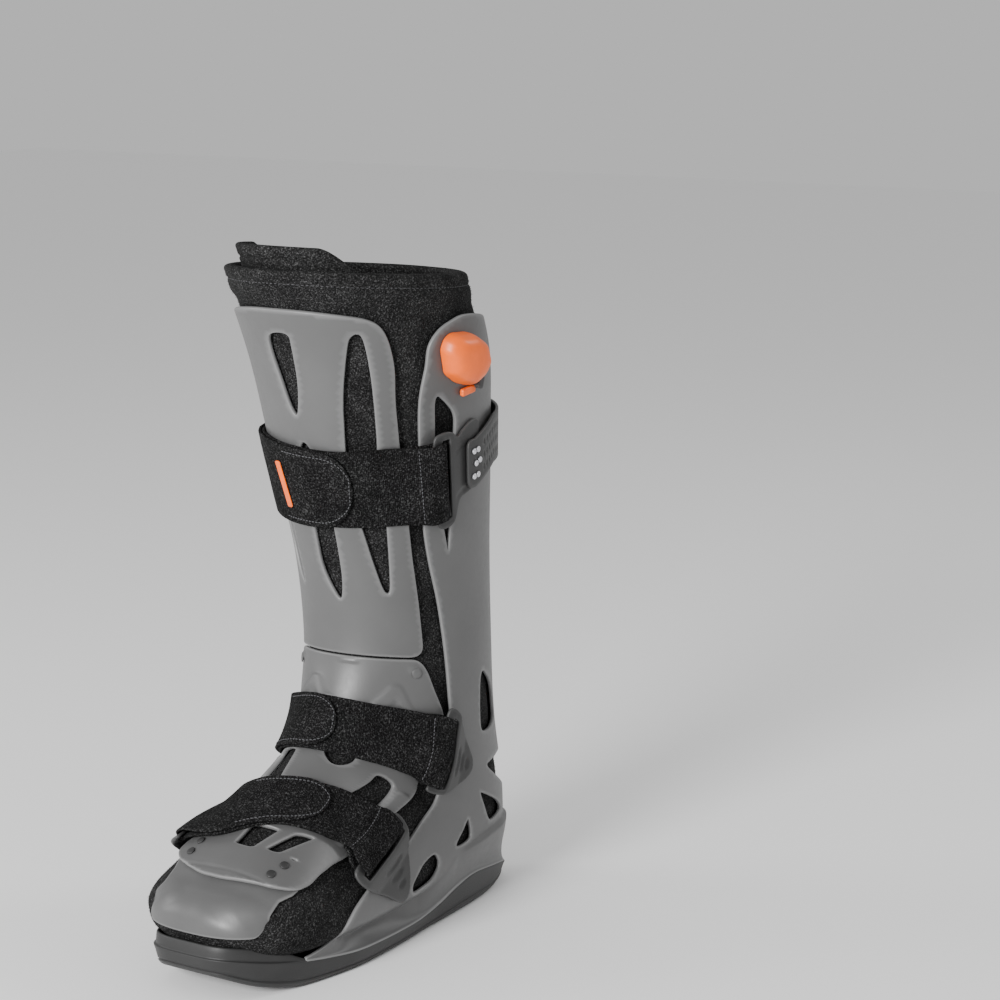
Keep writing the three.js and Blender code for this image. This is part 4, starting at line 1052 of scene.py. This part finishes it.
# Stitches along an edge line: short beads of thread that follow it.
def stitchTree(material):
    tree, given, out = newTree("stitches", {"Pitch": 0.0026, "Length": 0.0019, "Thread": 0.00032})
    line = tree.nodes.new("GeometryNodeMeshToCurve")
    even = tree.nodes.new("GeometryNodeResampleCurve")
    even.mode = "LENGTH"
    bead = newNode(tree, "GeometryNodeMeshUVSphere", {"Segments": 6, "Rings": 5, "Radius": 0.5})
    size = tree.nodes.new("ShaderNodeCombineXYZ")
    double = newNode(tree, "ShaderNodeMath", {1: 2.0})
    double.operation = "MULTIPLY"
    tangent = tree.nodes.new("GeometryNodeInputTangent")
    turn = tree.nodes.new("FunctionNodeAlignRotationToVector")
    turn.axis = "Z"
    spots = tree.nodes.new("GeometryNodeInstanceOnPoints")
    linkAll(tree, [
        (given, "Geometry", line, "Mesh"), (line, "Curve", even, "Curve"), (given, "Pitch", even, "Length"),
        (given, "Thread", double, 0), (double, 0, size, "X"), (double, 0, size, "Y"),
        (given, "Length", size, "Z"), (tangent, "Tangent", turn, "Vector"), (even, "Curve", spots, "Points"),
        (bead, "Mesh", spots, "Instance"), (turn, "Rotation", spots, "Rotation"),
        (size, "Vector", spots, "Scale"),
    ])
    endTree(tree, spots.outputs["Instances"], out, material)
    return tree


# Pile: leaning fibres scattered over a skin.
def pileTree(material):
    tree, given, out = newTree("pile", {"Density": 250000.0, "Height": 0.0007, "Width": 0.00011, "Seed": 4})
    scatter = tree.nodes.new("GeometryNodeDistributePointsOnFaces")
    sizes = {"Vertices": 3, "Radius Top": 0.35, "Radius Bottom": 1.0, "Depth": 1.0}
    fibre = newNode(tree, "GeometryNodeMeshCone", sizes)
    size = tree.nodes.new("ShaderNodeCombineXYZ")
    lean = tree.nodes.new("FunctionNodeRandomValue")
    lean.data_type = "FLOAT_VECTOR"
    lean.inputs["Min"].default_value = (-0.9, -0.9, -3.1)
    lean.inputs["Max"].default_value = (0.9, 0.9, 3.1)
    spots = tree.nodes.new("GeometryNodeInstanceOnPoints")
    tilt = tree.nodes.new("GeometryNodeRotateInstances")
    linkAll(tree, [
        (given, "Geometry", scatter, "Mesh"), (given, "Density", scatter, "Density"),
        (given, "Seed", scatter, "Seed"), (given, "Seed", lean, "Seed"), (given, "Width", size, "X"),
        (given, "Width", size, "Y"), (given, "Height", size, "Z"), (scatter, "Points", spots, "Points"),
        (scatter, "Rotation", spots, "Rotation"), (fibre, "Mesh", spots, "Instance"),
        (size, "Vector", spots, "Scale"), (spots, "Instances", tilt, "Instances"),
        (lean, "Value", tilt, "Rotation"),
    ])
    endTree(tree, tilt.outputs["Instances"], out, material)
    return tree


# Plain mesh that a tree makes from a source, which is then removed.
def grown(name, source, tree, values):
    modifier = source.modifiers.new("grow", "NODES")
    modifier.node_group = tree
    for socket in tree.interface.items_tree:
        if socket.in_out == "INPUT" and socket.name in values:
            modifier[socket.identifier] = values[socket.name]
    settled = source.evaluated_get(bpy.context.evaluated_depsgraph_get())
    mesh = bpy.data.meshes.new_from_object(settled)
    source.modifiers.remove(modifier)
    bpy.data.objects.remove(source)
    mesh.name = name
    thing = placed(name, mesh)
    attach(thing, "root")
    return thing


stitches = stitchTree(threadCloth)
pile = pileTree(pileCloth)


def stitchLine(name, points, values):
    mesh = bpy.data.meshes.new(name + "_line")
    mesh.from_pydata((points / metre).tolist(), [(i, i + 1) for i in range(len(points) - 1)], [])
    return grown(name, placed(name + "_line", mesh), stitches, values)


def pileOver(name, points, faces, values):
    return grown(name, makeObject(name + "_skin", points, faces), pile, values)


linerThing, linerSkin, linerSeam = linerBody()
finished(linerThing, linerCloth, "liner_plush", "liner", "liner_foot")
linerFaces = gridFaces(liner["rows"], liner["columns"], True)
linerPile = {"Density": 112000.0, "Height": 0.0008, "Seed": 3}
pileOver("liner_pile", linerSkin, linerFaces, linerPile)
seamStitch = {"Pitch": 0.003, "Thread": 0.0002}
stitchLine("liner_seam_stitches", np.vstack([linerSeam, linerSeam[:1]]), seamStitch)
flapThing = finished(linerFlap(), linerCloth, "liner_plush", "liner_flap")
print("liner made")

# Straps. Columns: station and angle of the upper edge, then of the lower edge. The second row
# and the last but one lie on the bars.
strapTables = {
    "calf": [
        [1.6, 112, 2.28, 112], [1.78, 66, 2.55, 66], [1.8, 52, 2.57, 52], [1.82, 34, 2.59, 32],
        [1.84, 14, 2.6, 10], [1.8, -8, 2.58, -14], [1.76, -26, 2.54, -33], [1.74, -46, 2.5, -50],
        [1.74, -68, 2.5, -68], [1.6, -114, 2.28, -114],
    ],
    "ankle": [
        [5.5, 108, 6.2, 102], [5.15, 68, 6.7, 46], [5.14, 52, 6.64, 36], [5.14, 36, 6.64, 24],
        [5.17, 18, 6.75, 14], [5.2, 0, 6.95, 2], [5.24, -14, 7.05, -9], [5.24, -34, 6.95, -22],
        [5.24, -56, 6.85, -38], [5.5, -102, 6.2, -98],
    ],
    "forefoot": [
        [9.1, 120, 9.5, 126], [8.12, 46, 9.66, 70], [8.03, 34, 9.42, 52], [7.93, 20, 9.44, 34],
        [8.04, 10, 9.62, 18], [8.3, 0, 9.95, 6], [8.6, -12, 10.3, -8], [8.75, -26, 10.45, -24],
        [8.75, -46, 10.4, -54], [9.3, -116, 9.8, -120],
    ],
}


# Places along a strap in millimetres from its inner bar.
class Strap:
    def __init__(self, rows):
        self.rows = np.array(rows, float)
        u = np.linspace(0, len(rows) - 1, (len(rows) - 1) * 12 + 1)
        s, a, t, b = through(self.rows, u).T
        middle = onBody((s + t) / 2, (a + b) / 2, mainLevel)
        marks = travel(middle)
        self.u, self.marks = u, marks - marks[12]
        self.length = marks[-13] - marks[12]

    def place(self, millimetres, share):
        s, a, t, b = through(self.rows, np.interp(millimetres, self.marks, self.u)).T
        return s + (t - s) * share, a + (b - a) * share


webbing = {
    "step": 2.2, "foldSteps": 14, "endSteps": 26, "endReach": 20, "columns": 30, "ripple": 0.16, "bulge": 0.5,
    "rise": (4, 29), "settle": (4, 26), "hem": 13, "stitch": {"Pitch": 0.0024, "Length": 0.0018},
}


# Route of a strap: places along it and heights over the liner, from the inner turned end round
# both bars to the end of the flap.
def strapRoute(length, flapEnd):
    def line(start, end, level):
        at = np.linspace(start, end, max(2, int(abs(end - start) / webbing["step"])))
        return np.stack([at, level(at)], 1)

    def fold(centre, side):
        turn = np.linspace(0, np.pi, webbing["foldSteps"])[1:-1]
        middle = (outerLevel + mainLevel) / 2
        return np.stack([centre + side * foldRadius * np.sin(turn), middle - foldRadius * np.cos(turn)], 1)

    flat = lambda at: np.full(len(at), mainLevel)
    rise = lambda at: outerLevel + (mainLevel - outerLevel) * smooth(at, *webbing["rise"])
    settle = lambda at: outerLevel + (flapLevel - outerLevel) * smooth(length - at, *webbing["settle"])
    turnedIn = flapEnd + webbing["endReach"]
    tip = turnedIn - np.linspace(1.5, webbing["endReach"], webbing["endSteps"])
    return np.vstack([
        line(returnLength, 0, flat),
        fold(-foldPlace, -1),
        line(0, length, rise),
        fold(length + foldPlace, 1),
        line(length, turnedIn, settle),
        np.stack([tip, np.full(len(tip), flapLevel)], 1),
    ])


# Folded strap with a round flap end, its thread and its pile.
def strapLook(name, strap, flapEnd, roundEnd):
    route = strapRoute(strap.length, flapEnd)
    rows, columns = len(route), webbing["columns"]
    left = np.where(np.arange(rows) > rows / 2, route[:, 0] - flapEnd, roundEnd)
    narrow = np.sqrt(np.clip(1 - (1 - np.clip(left / roundEnd, 0, 1)) ** 2, 0.0004, 1))
    share = np.linspace(0, 1, columns)
    across = (0.5 + (share[None, :] - 0.5) * narrow[:, None]).ravel()
    s, a = strap.place(np.repeat(route[:, 0], columns), across)
    level = np.repeat(route[:, 1], columns) + strapRise(s)
    level += ripple(onBody(s, a, level), 38, len(name)) * webbing["ripple"]
    middle = onBody(s, a, level)
    grid = middle.reshape(rows, columns, 3)
    run, side = np.gradient(grid, axis=0), np.gradient(grid, axis=1)
    offset = unit(np.cross(run.reshape(-1, 3), side.reshape(-1, 3))) * strapWall / 2
    lengths = travel(grid[:, columns // 2])
    flat = np.stack([np.repeat(lengths, columns), across * 42], 1)
    faces = gridFaces(rows, columns)
    look = name + "_strap_look"
    thing = closeSheet(look, middle + offset, middle - offset, faces, flat, webbing["bulge"])
    top = onBody(s, a, level + strapWall / 2 + 0.1)
    strapThread(name, top.reshape(rows, columns, 3), route)
    pileOver(name + "_strap_pile", top, faces, {"Seed": len(name)})
    return thing, lengths[-1], grid


# Stitches round the flap's end and across the turned end by the inner bar.
def strapThread(name, top, route):
    rows = len(route)
    sewn = slice(rows - webbing["endSteps"] - 12, rows - 2)
    border = np.vstack([top[sewn, 2], top[rows - 3, 3:-3], top[sewn, -3][::-1]])
    stitchLine(name + "_flap_stitches", border, webbing["stitch"])
    hem = top[20 + np.argmax(route[20:, 0] > webbing["hem"])]
    stitchLine(name + "_hem_stitches", hem[1:-1], webbing["stitch"])


calfPlate = [
    [4, 1.14], [11, 1.11], [16, 0.88], [31, 0.88], [40, 0.84], [41, 0.7], [35, 0.62],
    [35, 0.2], [40, 0.1], [39, -0.06], [31, -0.1], [16, 0.04], [11, -0.1], [4, -0.13],
]


def trianglePlate(reach):
    return [
        [4, 1.14], [11, 1.12], [reach * 0.83, 0.82], [reach * 0.97, 0.66],
        [reach, 0.5], [reach * 0.95, 0.34], [reach * 0.75, 0.16], [11, -0.1], [4, -0.13],
    ]


fitting = {"width": 40.0, "spacing": 1.5, "leafDepth": 0.9, "grooveDepth": 0.5, "settle": 12, "bulge": 0.6}


# Buckle plate with a slot for the strap. Leaves are sunk places: how far they lie behind the bar,
# their share of the width and their half length.
def fittingLook(name, strap, outline, end, leaves):
    width = fitting["width"]
    slotEnd = barWidth / 2 + slotWidth
    front = [[-barWidth / 2, -0.1], [-barWidth / 2, 1.1]]
    shape = np.array([*front, *outline]) * [1, width]
    slot = [[barWidth / 2, -0.04], [barWidth / 2, 1.04], [slotEnd, 1.04], [slotEnd, -0.04]]
    loops = [rounded(shape, 4, 1.2), rounded(np.array(slot) * [1, width], 1.5, 1.0)]
    plane, faces = fillOutline(loops, fitting["spacing"])
    behind, share = plane[:, 0], plane[:, 1] / width
    s, a = strap.place(-behind if end == "inner" else strap.length + behind, share)
    settled = np.clip((behind - slotEnd - 1) / fitting["settle"], 0, 1)
    bar = barInner + strapRise(s)
    under = bar + (shellOuter + 0.4 + raised(s) - bar) * settled
    relief = np.zeros(len(s))
    for at, middle, length in leaves:
        lean = np.hypot((behind - at) / 2.4, (share - middle) * width / length)
        relief -= fitting["leafDepth"] * (1 - smooth(lean, 0.6, 1.0))
    groove = np.minimum(np.abs(share - 0.2), np.abs(share - 0.8)) * width
    if not leaves:
        sunk = (1 - smooth(groove, 0.5, 1.6)) * smooth(behind, slotEnd + 3, slotEnd + 6)
        relief -= fitting["grooveDepth"] * sunk
    outer = onBody(s, a, under + plateWall + relief)
    return closeSheet(name, outer, onBody(s, a, under), faces, plane, fitting["bulge"])


straps = {name: Strap(rows) for name, rows in strapTables.items()}
strapShapes = {"calf": (0.32, 20), "ankle": (0.44, 16), "forefoot": (0.3, 18)}
leafRows = {
    "calf": [],
    "ankle": [(14, 0.5, 11), (20, 0.5, 8), (26, 0.5, 5)],
    "forefoot": [(17, 0.5, 12), (25, 0.5, 9), (33, 0.5, 6)],
}
plates = {"calf": calfPlate, "ankle": trianglePlate(34), "forefoot": trianglePlate(46)}
for name, strap in straps.items():
    flapShare, roundEnd = strapShapes[name]
    thing, cut, middle = strapLook(name, strap, strap.length * flapShare, roundEnd)
    finished(thing, strapCloth, "strap_webbing", name + "_strap")
    for end in ("inner", "outer"):
        look = fittingLook(name + "_buckle_" + end + "_look", strap, plates[name], end, leafRows[name])
        finished(look, fittingRubber, "fitting_rubber", name + "_buckle_" + end)
print("straps made")

# Rear band with rows of slots
bandMiddles = [[0, 1.76], [60, 1.84], [84, 2.03], [94, 2.04]]
band = {
    "half": 12.4, "end": 91, "pitch": 4.4, "slot": (1.0, 1.9), "rows": (-6.6, 0, 6.6), "plain": 19, "wall": 2,
    "perDegree": 1.24, "perStation": 50.6, "spacing": 2.2,
}


def rearBand():
    half, reach = band["half"], band["end"] * band["perDegree"]
    loops = [rounded([[-reach, -half], [reach, -half], [reach, half], [-reach, half]], 5, 1.6)]
    slot = circle(12) * band["slot"]
    count = int((reach - band["plain"]) / band["pitch"])
    for height in band["rows"]:
        for k in range(-count, count + 1):
            loops.append(slot + [k * band["pitch"], height])
    plane, faces = fillOutline(loops, band["spacing"])
    back = plane[:, 0] / band["perDegree"]
    s, a = along(bandMiddles, np.abs(back)) + plane[:, 1] / band["perStation"], 180 + back
    outer = onBody(s, a, bandInner + band["wall"])
    return closeSheet("rear_band_look", outer, onBody(s, a, bandInner), faces, plane, 0.5)


finished(rearBand(), fittingRubber, "fitting_rubber", "rear_band")


# Round pieces: a profile turned about the outward direction at a place on the body.
def turnedPiece(name, place, out, profile, segments=28):
    s, a = place
    centre = onBody(s, a, out)[0]
    axis = outward(np.array([s]), np.array([a]))[0]
    side = unit(np.cross(axis, [0, 0, 1])[None])[0]
    up = np.cross(side, axis)
    ring = circle(segments) @ [side, up]
    points = np.vstack([centre + ring * r + axis * h for r, h in profile])
    faces = gridFaces(len(profile), segments, True).tolist()
    faces += [list(range(segments))[::-1], list(range(len(points) - segments, len(points)))]
    thing = makeObject(name, points, faces, points[:, :2], np.zeros(len(points)))
    faceOut(thing)
    return thing


def domeProfile(radius, height):
    turn = np.linspace(0, np.pi / 2, 7)[:-1]
    dome = [[radius * math.cos(k), height * (0.4 + 0.6 * math.sin(k))] for k in turn]
    return [[radius * 0.98, 0], *dome, [radius * 0.1, height]]


# Radius and height of the round pieces.
domes = {"band": (1.9, 1.3), "toe": (2.8, 1.2), "rivet": (3.2, 1.1)}
rivetPlace = (4.45, 38)
studPlaces = [[-0.13, 86.5], [-0.13, 82.5], [0, 84.5], [0, 80.5], [0.13, 86.5], [0.13, 82.5]]
for side, label in ((1, "inner"), (-1, "outer")):
    for k, (rise, back) in enumerate(studPlaces):
        node = "band_stud_" + label + "_" + str(k + 1)
        place = (along(bandMiddles, back) + rise, side * (180 - back))
        piece = turnedPiece(node + "_look", place, bandInner + 2.3, domeProfile(*domes["band"]))
        finished(piece, studMetal, "stud_metal", node)
    for k, (s, e) in enumerate(toeHoles[:2]):
        node = "toe_stud_" + label + "_" + str(k + 1)
        place = (s, along(shinAxis, s) + side * e)
        out = shellOuter + float(raised(s)) + 0.2
        piece = turnedPiece(node + "_look", place, out, domeProfile(*domes["toe"]))
        finished(piece, fittingRubber, "fitting_rubber", node)
    place = (rivetPlace[0], along(shinAxis, rivetPlace[0]) + side * rivetPlace[1])
    piece = turnedPiece("rivet_" + label + "_look", place, shellOuter + 0.5, domeProfile(*domes["rivet"]))
    finished(piece, shellPlastic, "shell_plastic", "rivet_" + label)
print("band and studs made")

# Hand pump. The outline's corners are [station, angle].
pump = {
    "rise": 12.5, "rings": 34, "columns": 132, "gap": 0.5, "flat": 4.2, "fall": 0.6, "blend": 0.06,
    "waist": 0.05,
}
bulbOutline = [
    [0.6, 84], [0.61, 97], [0.74, 106], [0.99, 108], [1.13, 101], [1.22, 91], [1.17, 82], [1.06, 75],
    [0.78, 75], [0.66, 79],
]


# Bulb with soft facets that follow the corners of its outline.
def pumpBulb():
    outline = rounded(toMap(bulbOutline), 2.4, 0.7)
    centre = outline.mean(0)
    turn = np.linspace(0, 2 * np.pi, pump["columns"], endpoint=False)
    ways = np.arctan2(outline[:, 1] - centre[1], outline[:, 0] - centre[0])
    order = np.argsort(ways)
    reach = np.linalg.norm(outline - centre, axis=1)
    radius = np.interp(turn, ways[order], reach[order], period=2 * np.pi)
    ways = circle(pump["columns"])
    rows = []
    for k in range(pump["rings"] + 1):
        share = k / pump["rings"]
        out = math.sin(share * np.pi / 2)
        height = pump["rise"] * (1 - out ** pump["flat"]) ** pump["fall"]
        blend = pump["blend"] * (1 - share)
        facet = radius * (1 - blend) + radius.mean() * blend
        plane = centre + ways * (facet * out * (1 + pump["waist"] * math.sin(np.pi * out)))[:, None]
        s, a = fromMap(plane)
        rows.append(onBody(s, a, shellOuter + pump["gap"] + height))
    base = onBody(*fromMap(centre[None]), shellOuter + pump["gap"])
    rows += [rows[-1] * (1 - k) + base * k for k in (0.3, 0.99)]
    points = np.vstack(rows)
    faces = gridFaces(len(rows), pump["columns"], True).tolist()
    faces += [list(range(len(points) - pump["columns"], len(points)))]
    thing = makeObject("pump_bulb_look", points, faces, points[:, :2], np.zeros(len(points)))
    faceOut(thing)
    return thing


# Small rounded box that lies on the body, turned in its own plane.
def boxPiece(name, place, out, size, turn=0.0):
    s, a = place
    centre = onBody(s, a, out)[0]
    axis = outward(np.array([s]), np.array([a]))[0]
    side = unit(np.cross([0, 0, 1], axis)[None])[0]
    up = np.cross(axis, side)
    c, d = math.cos(math.radians(turn)), math.sin(math.radians(turn))
    side, up = side * c + up * d, up * c - side * d
    width, height, depth = size
    corners = np.array([[-1, -1], [1, -1], [1, 1], [-1, 1]]) * [width / 2, height / 2]
    plane, faces = fillOutline([rounded(corners, min(width, height) * 0.25, 0.6)], 0.9)
    flat = centre + np.outer(plane[:, 0], side) + np.outer(plane[:, 1], up)
    half = axis * depth / 2
    return closeSheet(name, flat + half, flat - half, faces, plane, min(0.35, depth / 3))


finished(pumpBulb(), orangePlastic, "orange_plastic", "pump_bulb")
# Small boxes: station and angle, height over the liner, size, and turn in degrees.
valveBox = ((1.19, 99.5), shellOuter + 3.6, (5.2, 7.5, 5.6), -14)
hookBox = ((1.275, 92), shellOuter + 1.7, (13, 4, 2.6), 8)
finished(boxPiece("pump_valve_look", *valveBox), fittingRubber, "fitting_rubber", "pump_valve")
finished(boxPiece("pump_hook_look", *hookBox), orangePlastic, "orange_plastic", "pump_hook")

labelShare = 0.585
labelAt = [q[0] for q in straps["calf"].place(np.array([straps["calf"].length * labelShare]), 0.5)]
labelBox = (labelAt, flapLevel + strapWall / 2 + 0.8, (4.5, 30, 0.8), 4)
label = boxPiece("strap_label_look", *labelBox)
finished(label, orangePlastic, "orange_plastic", "strap_label")
print("pump and label made")


# Studio. Lights: place, size in metres, and power.
stage = {"half": 6, "low": -0.0005, "tone": 0.95, "roughness": 0.8, "world": 0.58}
lights = {
    "key": ((0.25, -2.3, 0.95), 0.8, 84),
    "fill": ((-1.9, -1.1, 0.9), 1.0, 16),
    "rim": ((1.1, 1.3, 1.3), 0.6, 9),
}


def areaLight(name, place, size, power):
    light = bpy.data.lights.new(name, "AREA")
    light.energy, light.size, light.shape = power, size, "DISK"
    lamp = placed(name, light)
    lamp.location = place
    lamp.rotation_euler = (Vector(view["target"]) - Vector(place)).to_track_quat("-Z", "Y").to_euler()


def studio():
    mesh = bpy.data.meshes.new("floor")
    half, low = stage["half"], stage["low"]
    corners = [(-half, -half, low), (half, -half, low), (half, half, low), (-half, half, low)]
    mesh.from_pydata(corners, [], [(0, 1, 2, 3)])
    floor = placed("floor", mesh)
    tone = (*[stage["tone"]] * 3, 1)
    mesh.materials.append(newMaterial("floor", {"Base Color": tone, "Roughness": stage["roughness"]})[0])
    world = bpy.data.worlds.new("studio")
    bpy.context.scene.world = world
    world.use_nodes = True
    background = world.node_tree.nodes["Background"]
    background.inputs["Color"].default_value = (1, 1, 1, 1)
    background.inputs["Strength"].default_value = stage["world"]
    for name, (place, size, power) in lights.items():
        areaLight(name, place, size, power)


studio()
